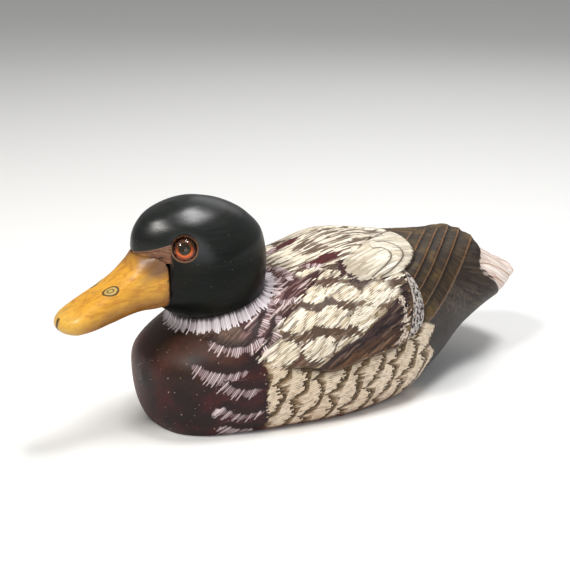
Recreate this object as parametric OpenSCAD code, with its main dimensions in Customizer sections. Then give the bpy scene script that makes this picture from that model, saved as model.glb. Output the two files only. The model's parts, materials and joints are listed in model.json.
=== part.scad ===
// Floating duck decoy: a carved, painted drake with a hollow wooden body,
// a bottom board, a bolted head that swivels on a sloping neck seat, an
// inserted bill, glass eyes, an inset ballast weight and a line-tie ring.
// Millimetres. Forward (bill) is -Y, the duck's left is +X, up is +Z.

/* [Body] */
// Full width of the body at its widest
body_w = 116; // [108:1:122]
// Height of the top of the back above the flat bottom
back_h = 82; // [79:1:86]
// Thickness of the bottom board
board_t = 10; // [10:0.5:12]
// Full width of the routed hollow at its widest
hollow_w = 70; // [56:1:74]
// Ceiling of the routed hollow above the flat bottom
hollow_h = 57; // [48:1:59]

/* [Head] */
// Full width of the head at the cheeks
head_w = 56; // [52:1:58]
// Radius of the round neck seat
seat_r = 25.5; // [24:0.5:26]
// Forward lean of the neck axis, degrees
neck_tilt = 15; // [12:1:18]

/* [Bill] */
// Length of the bill in front of its seat in the head
bill_len = 53; // [48:0.5:55]
// Full width of the bill at its spoon
bill_w = 24.4; // [22:0.2:26]

/* [Eyes] */
// Diameter of the glass eyes
eye_d = 12; // [10:0.5:12.5]
// Rise of the glass dome above its edge
eye_dome = 3.6; // [2.8:0.1:4.2]
// Diameter of the pupil
pupil_d = 5.4; // [4:0.2:6.4]

/* [Neck hardware] */
// Diameter of the neck bolt
bolt_d = 6; // [5:0.5:7]
// Radial clearance of the bolt in its bush
bolt_clear = 0.05; // [0.02:0.01:0.1]
// Thickness of the neck deck under the seat
deck_t = 20; // [18:0.5:21]

/* [Ballast] */
// Length of the inset weight
weight_l = 62; // [50:1:70]
// Width of the inset weight
weight_w = 30; // [24:1:36]
// Thickness of the inset weight
weight_t = 5; // [4:0.5:6]

/* [Line tie] */
// Mean diameter of the ring
ring_d = 16; // [14:0.5:17]
// Diameter of the ring's wire
ring_wire = 2.4; // [2:0.1:2.6]
// Diameter of the staple's wire
staple_wire = 2; // [1.6:0.1:2.2]

/* [Hidden] */
$fn = 64;

// ---- smooth interpolation in a table of rows, column k against column 0 ----
function seg(T, x, i = 0) = (i >= len(T) - 2 || x < T[i + 1][0]) ? i : seg(T, x, i + 1);
function dl(T, k, i) = (T[i + 1][k] - T[i][k]) / (T[i + 1][0] - T[i][0]);
function slope(T, k, i) =
  i <= 0 ? dl(T, k, 0) :
  i >= len(T) - 1 ? dl(T, k, len(T) - 2) :
  dl(T, k, i - 1) * dl(T, k, i) <= 0 ? 0 :
  let (h0 = T[i][0] - T[i - 1][0], h1 = T[i + 1][0] - T[i][0],
       w1 = 2 * h1 + h0, w2 = h1 + 2 * h0)
  (w1 + w2) / (w1 / dl(T, k, i - 1) + w2 / dl(T, k, i));
function spl(T, k, x0) =
  let (x = min(max(x0, T[0][0]), T[len(T) - 1][0]), i = seg(T, x),
       h = T[i + 1][0] - T[i][0], t = (x - T[i][0]) / h)
  (2 * t * t * t - 3 * t * t + 1) * T[i][k]
  + (t * t * t - 2 * t * t + t) * h * slope(T, k, i)
  + (3 * t * t - 2 * t * t * t) * T[i + 1][k]
  + (t * t * t - t * t) * h * slope(T, k, i + 1);

// ---- body: y, half width, height of the widest line, top, keel line,
//      roundness above, roundness below ----
ws = body_w / 116;
BODY = [
  [-102,   1, 30, 31, 29, 2, 2],
  [-100,  12, 31, 39, 15, 2, 2.2],
  [ -97,  20, 31, 43,  5, 2, 2.4],
  [ -90,  29.5, 32, 48, -4, 2, 2.5],
  [ -75,  38.5, 33, 56, -11, 2, 2.5],
  [ -45,  49, 33, 66.5, -15, 2.1, 2.5],
  [  -5,  57.5, 33, 76.5, -15, 2.3, 2.5],
  [  26,  58, 35, back_h, -11, 2.3, 2.5],
  [  60,  48, 38, 77, 1, 2.2, 2.4],
  [  88,  38, 42, 74, 16, 2.1, 2.2],
  [ 110,  34, 45, 72, 26, 2, 2.1],
  [ 125,  30.5, 45, 64, 31, 2, 2],
  [ 137,  25, 45, 56, 35, 2, 2],
  [ 143,  19, 45, 51, 38, 2, 2],
  [ 145,  12, 45, 48.5, 41, 2, 2],
  [ 146,   1, 45, 45.5, 44.5, 2, 2]];
function b_w(y) = ws * spl(BODY, 1, y);
function b_zw(y) = spl(BODY, 2, y);
function b_zt(y) = spl(BODY, 3, y);
function b_zb(y) = spl(BODY, 4, y);
function b_nu(y) = spl(BODY, 5, y);
function b_nl(y) = spl(BODY, 6, y);
// half width of the body at y and height z
function b_hw(y, z) =
  let (up = z >= b_zw(y), h = up ? b_zt(y) - b_zw(y) : b_zw(y) - b_zb(y),
       n = up ? b_nu(y) : b_nl(y), q = min(1, abs(z - b_zw(y)) / h))
  b_w(y) * pow(1 - pow(q, n), 1 / n);

NS = 44;  // stations along the body
KH = 20;  // points up one side
KF = 4;   // of which on the flat
y0 = BODY[0][0];
y1 = BODY[len(BODY) - 1][0];
function st(i) = let (s = i / (NS - 1))
  0.55 * ((y0 + y1) / 2 - (y1 - y0) / 2 * cos(180 * s)) + 0.45 * (y0 + (y1 - y0) * s);
// angle at which the section meets the height zf
function corner(y, zf) =
  b_zb(y) >= zf ? -72 :
  max(-72, -asin(pow(min(1, (b_zw(y) - zf) / (b_zw(y) - b_zb(y))), b_nl(y) / 2)));
function ang(y, zf, j) =
  j <= KF ? -90 + (corner(y, zf) + 90) * j / KF
          : corner(y, zf) + (90 - corner(y, zf)) * (j - KF) / (KH - KF);
function half_pt(y, zf, j, side) =
  let (a = ang(y, zf, j), up = a >= 0, n = up ? b_nu(y) : b_nl(y),
       x = j == 0 || j == KH ? 0 : b_w(y) * pow(cos(a), 2 / n),
       h = up ? b_zt(y) - b_zw(y) : b_zw(y) - b_zb(y),
       z = b_zw(y) + sign(a) * h * pow(abs(sin(a)), 2 / n))
  [side * x, y, max(z, zf)];
function loop_pts(y, zf) = concat(
  [for (j = [0 : KH]) half_pt(y, zf, j, 1)],
  [for (j = [KH - 1 : -1 : 1]) half_pt(y, zf, j, -1)]);

// skin over a stack of equal closed flat loops, each end closed by one face
module skin(L) {
  n = len(L[0]);
  m = len(L);
  F = concat(
    [for (i = [0 : m - 2]) for (j = [0 : n - 1])
      let (a = i * n + j, b = i * n + (j + 1) % n) each [[a, b, b + n], [a, b + n, a + n]]],
    [[for (j = [n - 1 : -1 : 0]) j]],
    [[for (j = [0 : n - 1]) (m - 1) * n + j]]);
  polyhedron(points = [for (l = L) each l], faces = [for (f = F) [for (k = [len(f) - 1 : -1 : 0]) f[k]]], convexity = 6);
}

// ---- neck frame: origin at the middle of the seat, z along the neck axis ----
seat_y = -57;
seat_z = 64;
module at_neck() { translate([0, seat_y, seat_z]) rotate([neck_tilt, 0, 0]) children(); }

// the body above the height zf: its flat underside is one face, from the
// station fa to the station fb
module body_solid(zf) {
  n = 2 * KH;
  flat = [for (i = [0 : NS - 1]) if (b_zb(st(i)) < zf - 0.2 && corner(st(i), zf) > -71.9) i];
  fa = flat[0];
  fb = flat[len(flat) - 1];
  fm = floor((fa + fb) / 2);
  F = concat(
    [for (i = [0 : NS - 2]) for (j = [0 : n - 1])
      if (!(i >= fa && i < fb && (j < KF || j >= n - KF)))
      let (a = i * n + j, b = i * n + (j + 1) % n) each [[a, b, b + n], [a, b + n, a + n]]],
    [[for (j = [n - 1 : -1 : 0]) j]],
    [[for (j = [0 : n - 1]) (NS - 1) * n + j]],
    [concat(
      [for (i = [fm : fb]) i * n + KF],
      [for (j = [KF - 1 : -1 : 1]) fb * n + j], [fb * n],
      [for (j = [1 : KF - 1]) fb * n + n - j],
      [for (i = [fb : -1 : fa]) i * n + n - KF],
      [for (j = [KF - 1 : -1 : 1]) fa * n + n - j], [fa * n],
      [for (j = [1 : KF - 1]) fa * n + j],
      [for (i = [fa : fm - 1]) i * n + KF])]);
  polyhedron(points = [for (i = [0 : NS - 1]) each loop_pts(st(i), zf)], faces = F, convexity = 6);
}

module neck_stub() {
  at_neck() rotate_extrude($fn = 72) polygon([
    [0, -26], [44, -26], [40.5, -22], [34.5, -17], [30.6, -12], [28, -7.5],
    [26.4, -3.5], [seat_r, -0.3], [0, -0.3]]);
}

deck = deck_t;
module hollow() {
  translate([0, 0, board_t - 1]) linear_extrude(39 - board_t) hull() {
    translate([0, -43]) circle(21);
    translate([0, -2]) circle(hollow_w / 2);
  }
  translate([0, 0, board_t - 1]) linear_extrude(hollow_h - board_t + 1) hull() {
    translate([0, -1]) circle(hollow_w / 2 - 1);
    translate([0, 24]) circle(hollow_w / 2 - 3);
  }
}

SCREWS = [[26, -62], [-26, -62], [41, -6], [-41, -6], [35, 30], [-35, 30]];
staple_y = -72;
ring_z = 4.1;

module body_shell() {
  color([0.62, 0.5, 0.38]) difference() {
    union() {
      body_solid(board_t);
      neck_stub();
    }
    hollow();
    // spot face for the bush flange and the bolt head
    at_neck() translate([0, 0, -deck - 22]) cylinder(r = 11.5, h = 22);
    // bush bore
    at_neck() translate([0, 0, -deck - 1]) cylinder(r = 5, h = deck + 4);
    // recess of the neck pad
    at_neck() translate([0, 0, -1.2]) cylinder(r = 20, h = 4);
    // pilot holes of the board screws and the staple legs
    for (s = SCREWS) translate([s[0], s[1], 0]) cylinder(r = 1.75, h = 26, $fn = 24);
    for (d = [-1, 1]) translate([0, staple_y + d * 3.2, 0]) cylinder(d = staple_wire, h = 20, $fn = 24);
  }
}

// ---- bottom board: layers of the body outline between z = 0 and board_t ----
NB = 26;
// y where the keel line passes the height z, between a and b
function root(a, b, z, n = 22) =
  n == 0 ? (a + b) / 2 :
  let (m = (a + b) / 2) (b_zb(m) < z) == (b_zb(a) < z) ? root(m, b, z, n - 1) : root(a, m, z, n - 1);
function lay(z) =
  let (ya = root(-102, -30, z), yb = root(-5, 110, z))
  concat(
    [for (i = [0 : NB]) let (y = (ya + yb) / 2 - (yb - ya) / 2 * cos(180 * i / NB))
      [i == 0 || i == NB ? 0 : b_hw(y, z), y, z]],
    [for (i = [NB - 1 : -1 : 1]) let (y = (ya + yb) / 2 - (yb - ya) / 2 * cos(180 * i / NB))
      [-b_hw(y, z), y, z]]);
weight_y = 6;
module bottom_board() {
  color([0.45, 0.36, 0.28]) difference() {
    skin([for (z = [0, board_t / 3, 2 * board_t / 3, board_t]) lay(z)]);
    // bed of the inset weight
    translate([0, weight_y, weight_t / 2 - 0.5]) cube([weight_w + 0.4, weight_l + 0.4, weight_t + 1.8], center = true);
    // pilot holes of the weight screws
    for (d = [-1, 1]) translate([0, weight_y + d * (weight_l / 2 - 8), 0])
      cylinder(r = 1.75, h = board_t - 0.5, $fn = 24);
    // holes and countersinks of the board screws
    for (s = SCREWS) translate([s[0], s[1], -1]) {
      cylinder(r = 1.75, h = board_t + 2, $fn = 24);
      cylinder(r = 3.5, h = 1.3, $fn = 24);
      translate([0, 0, 1.3]) cylinder(r1 = 3.5, r2 = 1.75, h = 1.75, $fn = 24);
    }
    // pocket of the line-tie ring
    hull() {
      translate([0, staple_y + 5.5, -1]) cylinder(r = 11.5, h = 8);
      translate([0, staple_y + 12, -1]) cylinder(r = 11.5, h = 8);
    }
    for (d = [-1, 1]) translate([0, staple_y + d * 3.2, 0]) cylinder(d = staple_wire, h = 20, $fn = 24);
  }
}

// countersunk screw, head down, from z = 0.3 up to z = top
module screw(top) {
  translate([0, 0, 0.3]) difference() {
    union() {
      translate([0, 0, 1.75]) cylinder(r = 1.75, h = top - 2.05, $fn = 24);
      cylinder(r1 = 3.5, r2 = 1.75, h = 1.75, $fn = 24);
    }
    cube([0.9, 8, 1], center = true);
  }
}
module board_screws() { color([0.78, 0.63, 0.34]) for (s = SCREWS) translate([s[0], s[1], 0]) screw(25.5); }

module ballast_weight() {
  color([0.45, 0.46, 0.48]) difference() {
    translate([0, weight_y, 0.4]) linear_extrude(weight_t) offset(2, $fn = 24)
      square([weight_w - 4, weight_l - 4], center = true);
    for (d = [-1, 1]) translate([0, weight_y + d * (weight_l / 2 - 8), 0]) {
      cylinder(r = 1.75, h = 12, $fn = 24);
      translate([0, 0, 0.3]) cylinder(r1 = 3.5, r2 = 1.75, h = 1.75, $fn = 24);
      cylinder(r = 3.5, h = 0.3, $fn = 24);
    }
  }
}
module ballast_screws() {
  color([0.78, 0.63, 0.34]) for (d = [-1, 1])
    translate([0, weight_y + d * (weight_l / 2 - 8), 0]) screw(board_t - 0.5);
}

// ---- line tie: a wire staple whose bar passes under the ring's wire ----
module tie_staple() {
  color([0.78, 0.63, 0.34]) {
    for (d = [-1, 1]) translate([0, staple_y + d * 3.2, 1.4]) cylinder(d = staple_wire, h = 18.6, $fn = 24);
    translate([0, staple_y - 3.2, 1.4]) rotate([-90, 0, 0]) cylinder(d = staple_wire, h = 6.4, $fn = 24);
    for (d = [-1, 1]) translate([0, staple_y + d * 3.2, 1.4]) sphere(d = staple_wire, $fn = 24);
  }
}
// the ring lies with its far edge on the surface that the decoy stands on
ring_drop = asin((ring_z - ring_wire / 2 - 0.05) / ring_d);
module tie_ring() {
  color([0.78, 0.63, 0.34])
    translate([0, staple_y, ring_z]) rotate([-ring_drop, 0, 0]) translate([0, ring_d / 2, 0])
      rotate_extrude($fn = 72) translate([ring_d / 2, 0]) circle(d = ring_wire, $fn = 24);
}

// ---- neck hardware, all on the neck axis ----
module neck_bush() {
  color([0.78, 0.63, 0.34]) at_neck() difference() {
    union() {
      translate([0, 0, -deck]) cylinder(r = 5, h = deck - 1.4);
      translate([0, 0, -deck - 1.5]) cylinder(r = 9, h = 1.5);
    }
    translate([0, 0, -deck - 2]) cylinder(r = bolt_d / 2 + bolt_clear, h = deck + 4);
  }
}
module neck_pad() {
  color([0.2, 0.15, 0.12]) at_neck() difference() {
    translate([0, 0, -1.2]) cylinder(r = 20, h = 1.2);
    translate([0, 0, -2]) cylinder(r = 5.2, h = 4);
  }
}
module neck_washer() {
  color([0.7, 0.7, 0.72]) at_neck() difference() {
    translate([0, 0, -deck - 2.7]) cylinder(r = bolt_d / 2 + 4, h = 1.1);
    translate([0, 0, -deck - 4]) cylinder(r = bolt_d / 2 + 0.2, h = 4);
  }
}
module neck_spring_washer() {
  color([0.6, 0.6, 0.63]) at_neck() difference() {
    translate([0, 0, -deck - 4.2]) cylinder(r = bolt_d / 2 + 2.6, h = 1.5);
    translate([0, 0, -deck - 5]) cylinder(r = bolt_d / 2 + 0.2, h = 4);
    translate([0, -5, -deck - 5]) rotate([0, 0, 12]) translate([-0.6, -4, 0]) cube([1.2, 8, 4]);
  }
}
module neck_bolt() {
  color([0.7, 0.7, 0.72]) at_neck() {
    translate([0, 0, -deck - 8.2]) cylinder(d = bolt_d + 5.5, h = 4, $fn = 6);
    translate([0, 0, -deck - 4.2]) cylinder(d = bolt_d, h = deck + 17.2);
  }
}
module head_insert() {
  color([0.78, 0.63, 0.34]) at_neck() difference() {
    translate([0, 0, 0.5]) cylinder(r = 5.5, h = 13.5);
    cylinder(d = bolt_d, h = 13);
  }
}

// ---- head, in the neck frame: height, middle, front, back, half width,
//      roundness in front, roundness behind ----
hs = head_w / 56;
HEAD = [
  [ 0,     0,    seat_r, seat_r, seat_r, 2, 2],
  [ 6,    -1,    29.3, 28.9, 27 * hs,   1.9, 2],
  [15,    -2.5,  33.8, 33,   28 * hs,   1.8, 2.1],
  [27,    -4,    35.6, 35.2, 27.8 * hs, 1.72, 2.1],
  [37,    -6,    32.8, 32.2, 25 * hs,   1.72, 2.1],
  [46,    -8.2,  27.6, 25.7, 20 * hs,   1.8, 2.1],
  [52,   -10,    20.6, 18,   14 * hs,   1.9, 2],
  [55.5, -11.5,  12.4, 11,   8.2 * hs,  2, 2],
  [57,   -12,    1,    1,    0.8,       2, 2]];
NH = 26;
MH = 36;
function hd_r(a, n) = 1 / pow(pow(abs(cos(a)), n) + pow(abs(sin(a)), n), 1 / n);
function head_loop(h) =
  let (c = spl(HEAD, 1, h), f = spl(HEAD, 2, h), b = spl(HEAD, 3, h),
       w = spl(HEAD, 4, h), nf = spl(HEAD, 5, h), nb = spl(HEAD, 6, h))
  [for (j = [0 : MH - 1]) let (a = 360 * j / MH, r = hd_r(a, sin(a) < 0 ? nf : nb))
    [w * r * cos(a), c + (sin(a) < 0 ? f : b) * r * sin(a), h]];
module head_solid() { at_neck() skin([for (i = [0 : NH - 1]) head_loop(57 * sin(90 * i / (NH - 1)))]); }

// ---- eyes: a frame on each cheek, z outwards ----
eye_x = 19.4;
eye_y = -86.5;
eye_z = 97.2;
eye_yaw = 28;  // turned forward
eye_up = 25;   // turned up
module at_eye(s) {
  mirror([s < 0 ? 1 : 0, 0, 0]) translate([eye_x, eye_y, eye_z])
    rotate([0, 0, -eye_yaw]) rotate([0, 90 - eye_up, 0]) children();
}
er = eye_d / 2;
dome_r = (er * er + eye_dome * eye_dome) / (2 * eye_dome);

// ---- notch in the head that takes the bill ----
notch_y = -93;
notch_z = 90;

module head() {
  color([0.06, 0.12, 0.09]) difference() {
    head_solid();
    translate([-30, notch_y - 30, 40]) cube([60, 30, notch_z - 40]);
    at_neck() translate([0, 0, -1]) cylinder(r = 5.5, h = 15);
    translate([0, notch_y - 1, 78]) rotate([-90, 0, 0]) cylinder(r = 3, h = 13);
    for (s = [-1, 1]) at_eye(s) {
      translate([0, 0, -2.2]) cylinder(r = er + 0.8, h = 12);
      translate([0, 0, -8]) cylinder(r = 0.6, h = 8, $fn = 20);
    }
  }
}

// ---- bill: distance in front of the notch, half width, middle, top,
//      underside, roundness ----
bl = bill_len / 52.5;
bw = bill_w / 24.4;
BILL = [
  [ 0,   14.8, 78,   89.9, 66.6, 4.6],
  [ 6,   14,   77.5, 89.9, 65.8, 3.8],
  [11,   13.2, 77,   89.6, 65.4, 3],
  [18,   12.2, 75,   86,   64,   2.6],
  [27.5, 11.8 * bw, 71.5, 80.6, 61.8, 2.5],
  [38,   12.2 * bw, 67.6, 75.4, 60.2, 2.6],
  [45,   11.6 * bw, 65.6, 71.8, 60,   2.6],
  [49.8,  8.6 * bw, 64.8, 69,   61,   2.3],
  [51.8,  4.6 * bw, 64.6, 67,   62.6, 2],
  [52.5,  0.8, 64.6, 65,   64.2, 2]];
BN = 22;
BM = 28;
function bill_loop(s) =
  let (w = spl(BILL, 1, s), zc = spl(BILL, 2, s), zt = spl(BILL, 3, s),
       zb = spl(BILL, 4, s), n = spl(BILL, 5, s))
  [for (j = [0 : BM - 1]) let (a = 360 * j / BM, c = cos(a), q = sin(a))
    [w * sign(c) * pow(abs(c), 2 / n), notch_y - s * bl,
     zc + (q > 0 ? zt - zc : zc - zb) * sign(q) * pow(abs(q), 2 / n)]];
module bill() {
  color([0.8, 0.6, 0.2]) difference() {
    skin([for (i = [0 : BN - 1]) bill_loop(52.5 * sin(90 * i / (BN - 1)))]);
    translate([0, notch_y - 11, 78]) rotate([-90, 0, 0]) cylinder(r = 3, h = 12);
  }
}
module bill_dowel() {
  color([0.75, 0.6, 0.42]) translate([0, notch_y - 10.5, 78]) rotate([-90, 0, 0]) cylinder(r = 3, h = 22);
}

module eye_glass(s) {
  color([0.75, 0.4, 0.1]) at_eye(s) difference() {
    union() {
      translate([0, 0, -1.2]) cylinder(r = er, h = 1.2);
      intersection() {
        translate([0, 0, eye_dome - dome_r]) sphere(r = dome_r, $fn = 96);
        cylinder(r = er, h = 8);
      }
    }
    translate([0, 0, -2]) cylinder(d = pupil_d, h = 1.4);
  }
}
module eye_pupil(s) { color([0.02, 0.02, 0.02]) at_eye(s) translate([0, 0, -1.2]) cylinder(d = pupil_d, h = 0.5); }
module eye_iris(s) { color([0.7, 0.35, 0.08]) at_eye(s) translate([0, 0, -1.8]) cylinder(r = er, h = 0.6); }
module eye_putty(s) {
  color([0.8, 0.72, 0.6]) at_eye(s) rotate_extrude($fn = 64) polygon([
    [er, -2.2], [er + 0.8, -2.2], [er + 0.8, 0.3], [er + 0.55, 0.55],
    [er + 0.2, 0.5], [er, 0.15]]);
}
module eye_glass_left() { eye_glass(1); }
module eye_glass_right() { eye_glass(-1); }
module eye_iris_left() { eye_iris(1); }
module eye_iris_right() { eye_iris(-1); }
module eye_pupil_left() { eye_pupil(1); }
module eye_pupil_right() { eye_pupil(-1); }
module eye_putty_left() { eye_putty(1); }
module eye_putty_right() { eye_putty(-1); }
module eye_stems() {
  color([0.6, 0.6, 0.63]) for (s = [-1, 1]) at_eye(s) translate([0, 0, -7.5]) cylinder(r = 0.6, h = 5.7, $fn = 20);
}

body_shell();
bottom_board();
board_screws();
ballast_weight();
ballast_screws();
tie_staple();
tie_ring();
neck_bush();
neck_pad();
head();
head_insert();
neck_bolt();
neck_washer();
neck_spring_washer();
bill();
bill_dowel();
eye_glass_left();
eye_glass_right();
eye_iris_left();
eye_iris_right();
eye_pupil_left();
eye_pupil_right();
eye_putty_left();
eye_putty_right();
eye_stems();
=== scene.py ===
import json, math
import bpy, bmesh
import numpy as np
from mathutils import Vector, Matrix


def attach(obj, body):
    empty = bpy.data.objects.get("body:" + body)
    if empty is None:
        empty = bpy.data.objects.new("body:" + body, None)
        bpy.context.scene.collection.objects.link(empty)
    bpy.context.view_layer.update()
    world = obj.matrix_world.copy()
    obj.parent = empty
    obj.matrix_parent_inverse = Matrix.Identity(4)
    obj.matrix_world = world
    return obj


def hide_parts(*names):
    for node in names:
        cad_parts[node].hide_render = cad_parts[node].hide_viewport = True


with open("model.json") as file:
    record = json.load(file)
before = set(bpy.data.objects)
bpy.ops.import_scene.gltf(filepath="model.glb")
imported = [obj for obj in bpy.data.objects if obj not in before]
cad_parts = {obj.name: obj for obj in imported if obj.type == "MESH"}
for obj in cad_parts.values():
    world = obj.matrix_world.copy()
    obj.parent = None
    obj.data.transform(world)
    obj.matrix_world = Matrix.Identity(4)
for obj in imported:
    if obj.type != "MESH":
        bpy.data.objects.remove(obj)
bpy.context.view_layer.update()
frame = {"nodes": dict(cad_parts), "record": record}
NODES = frame["nodes"]
MM = 0.001

# ------------------------------------------------------------------ shape
BODY = np.array([
  [-102,   1, 30, 31, 29, 2, 2],
  [-100,  12, 31, 39, 15, 2, 2.2],
  [ -97,  20, 31, 43,  5, 2, 2.4],
  [ -90,  29.5, 32, 48, -4, 2, 2.5],
  [ -75,  38.5, 33, 56, -11, 2, 2.5],
  [ -45,  49, 33, 66.5, -15, 2.1, 2.5],
  [  -5,  57.5, 33, 76.5, -15, 2.3, 2.5],
  [  26,  58, 35, 82, -11, 2.3, 2.5],
  [  60,  48, 38, 77, 1, 2.2, 2.4],
  [  88,  38, 42, 74, 16, 2.1, 2.2],
  [ 110,  34, 45, 72, 26, 2, 2.1],
  [ 125,  30.5, 45, 64, 31, 2, 2],
  [ 137,  25, 45, 56, 35, 2, 2],
  [ 143,  19, 45, 51, 38, 2, 2],
  [ 145,  12, 45, 48.5, 41, 2, 2],
  [ 146,   1, 45, 45.5, 44.5, 2, 2]], float)
HEAD = np.array([
  [ 0,     0,    25.5, 25.5, 25.5, 2, 2],
  [ 6,    -1,    29.3, 28.9, 27,   1.9, 2],
  [15,    -2.5,  33.8, 33,   28,   1.8, 2.1],
  [27,    -4,    35.6, 35.2, 27.8, 1.72, 2.1],
  [37,    -6,    32.8, 32.2, 25,   1.72, 2.1],
  [46,    -8.2,  27.6, 25.7, 20,   1.8, 2.1],
  [52,   -10,    20.6, 18,   14,   1.9, 2],
  [55.5, -11.5,  12.4, 11,   8.2,  2, 2],
  [57,   -12,    1,    1,    0.8,  2, 2]], float)
BILL = np.array([
  [ 0,   14.8, 78,   89.9, 66.6, 4.6],
  [ 6,   14,   77.5, 89.9, 65.8, 3.8],
  [11,   13.2, 77,   89.6, 65.4, 3],
  [18,   12.2, 75,   86,   64,   2.6],
  [27.5, 11.8, 71.5, 80.6, 61.8, 2.5],
  [38,   12.2, 67.6, 75.4, 60.2, 2.6],
  [45,   11.6, 65.6, 71.8, 60,   2.6],
  [49.8,  8.6, 64.8, 69,   61,   2.3],
  [51.8,  4.6, 64.6, 67,   62.6, 2],
  [52.5,  0.8, 64.6, 65,   64.2, 2]], float)
SEAT = np.array([0.0, -57.0, 64.0])
TILT = math.radians(15)
CT, ST = math.cos(TILT), math.sin(TILT)
SEAM = 10.0


def spl(T, k, x):
    xs, ys = T[:, 0], T[:, k]
    d = np.diff(ys) / np.diff(xs)
    m = np.zeros(len(xs))
    m[0], m[-1] = d[0], d[-1]
    for i in range(1, len(xs) - 1):
        if d[i - 1] * d[i] > 0:
            h0, h1 = xs[i] - xs[i - 1], xs[i + 1] - xs[i]
            w1, w2 = 2 * h1 + h0, h1 + 2 * h0
            m[i] = (w1 + w2) / (w1 / d[i - 1] + w2 / d[i])
    x = np.clip(np.asarray(x, float), xs[0], xs[-1])
    i = np.clip(np.searchsorted(xs, x, side="right") - 1, 0, len(xs) - 2)
    h = xs[i + 1] - xs[i]
    t = (x - xs[i]) / h
    return ((2 * t**3 - 3 * t**2 + 1) * ys[i] + (t**3 - 2 * t**2 + t) * h * m[i]
            + (-2 * t**3 + 3 * t**2) * ys[i + 1] + (t**3 - t**2) * h * m[i + 1])


def sec(y):
    return [spl(BODY, k, y) for k in range(1, 7)]


def body_pt(y, th):
    w, zw, zt, zb, nu, nl = sec(y)
    c, s = np.cos(th), np.sin(th)
    n = np.where(s >= 0, nu, nl)
    x = w * np.sign(c) * np.abs(c) ** (2 / n)
    h = np.where(s >= 0, zt - zw, zw - zb)
    z = zw + np.sign(s) * h * np.abs(s) ** (2 / n)
    return np.stack([x, y + 0 * x, z], -1)


YS = np.linspace(-102, 146, 249)
TH = np.radians(np.linspace(90, -90, 181))
_P = body_pt(YS[:, None] + 0 * TH[None], TH[None] + 0 * YS[:, None])
AT = np.concatenate([np.zeros((len(YS), 1)), np.cumsum(np.linalg.norm(np.diff(_P, axis=1), axis=2), 1)], 1)


def body_yd(P):
    """y along the body, and distance down over the surface from the ridge of the back"""
    x, y, z = P[:, 0], np.clip(P[:, 1], -101.9, 145.9), P[:, 2]
    w, zw, zt, zb, nu, nl = sec(y)
    up = z >= zw
    n = np.where(up, nu, nl)
    H = np.where(up, zt - zw, zw - zb)
    c = (np.abs(x) / w) ** (n / 2)
    s = (np.abs(z - zw) / H) ** (n / 2) * np.where(up, 1, -1)
    j = np.clip(90 - np.degrees(np.arctan2(s, c)), 0, 179.999)
    i = np.clip(y + 102, 0, 247.999)
    i0, j0 = i.astype(int), j.astype(int)
    fi, fj = i - i0, j - j0
    d = (AT[i0, j0] * (1 - fi) * (1 - fj) + AT[i0 + 1, j0] * fi * (1 - fj)
         + AT[i0, j0 + 1] * (1 - fi) * fj + AT[i0 + 1, j0 + 1] * fi * fj)
    return P[:, 1], d


def to_neck(P):
    q = P - SEAT
    return np.stack([q[:, 0], q[:, 1] * CT + q[:, 2] * ST, -q[:, 1] * ST + q[:, 2] * CT], 1)


def from_neck(Q):
    return np.stack([Q[..., 0], SEAT[1] + Q[..., 1] * CT - Q[..., 2] * ST,
                     SEAT[2] + Q[..., 1] * ST + Q[..., 2] * CT], -1)


def curve(pts, n=7, closed=False):
    """smooth curve through given points"""
    p = np.array(pts, float)
    m = len(p)
    out = []
    rng = range(m if closed else m - 1)
    for i in rng:
        if closed:
            a, b, c, d = p[(i - 1) % m], p[i], p[(i + 1) % m], p[(i + 2) % m]
        else:
            a, b, c, d = p[max(i - 1, 0)], p[i], p[i + 1], p[min(i + 2, m - 1)]
        for k in range(n):
            t = k / n
            out.append(0.5 * (2 * b + (c - a) * t + (2 * a - 5 * b + 4 * c - d) * t * t + (3 * b - a - 3 * c + d) * t**3))
    if not closed:
        out.append(p[-1])
    return np.array(out)


def seg_dist(Q, C, closed=False):
    """distance to a polyline, place along it, and the side"""
    A = C
    B = np.roll(C, -1, 0) if closed else C[1:]
    if not closed:
        A = C[:-1]
    best = np.full(len(Q), 1e9)
    s_at = np.zeros(len(Q))
    side = np.zeros(len(Q))
    L = np.linalg.norm(B - A, axis=1)
    S = np.concatenate([[0], np.cumsum(L)])
    for k in range(len(A)):
        e = B[k] - A[k]
        if L[k] < 1e-9:
            continue
        t = np.clip(((Q - A[k]) @ e) / L[k] ** 2, 0, 1)
        r = Q - (A[k] + t[:, None] * e)
        dd = np.hypot(r[:, 0], r[:, 1])
        m = dd < best
        best[m] = dd[m]
        s_at[m] = (S[k] + t * L[k])[m]
        side[m] = np.sign(e[0] * r[:, 1] - e[1] * r[:, 0])[m]
    return best, s_at, side


def poly_sdf(Q, pts):
    """positive inside a closed smooth outline"""
    C = curve(pts, 6, True)
    d, _, _ = seg_dist(Q, C, True)
    x, y = Q[:, 0], Q[:, 1]
    ins = np.zeros(len(Q), bool)
    for (x1, y1), (x2, y2) in zip(C, np.roll(C, -1, 0)):
        if y1 == y2:
            continue
        c = (y1 > y) != (y2 > y)
        ins ^= c & (x < (x2 - x1) * (y - y1) / (y2 - y1) + x1)
    return np.where(ins, d, -d)


def sstep(a, b, x):
    t = np.clip((x - a) / (b - a), 0, 1)
    return t * t * (3 - 2 * t)


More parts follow.
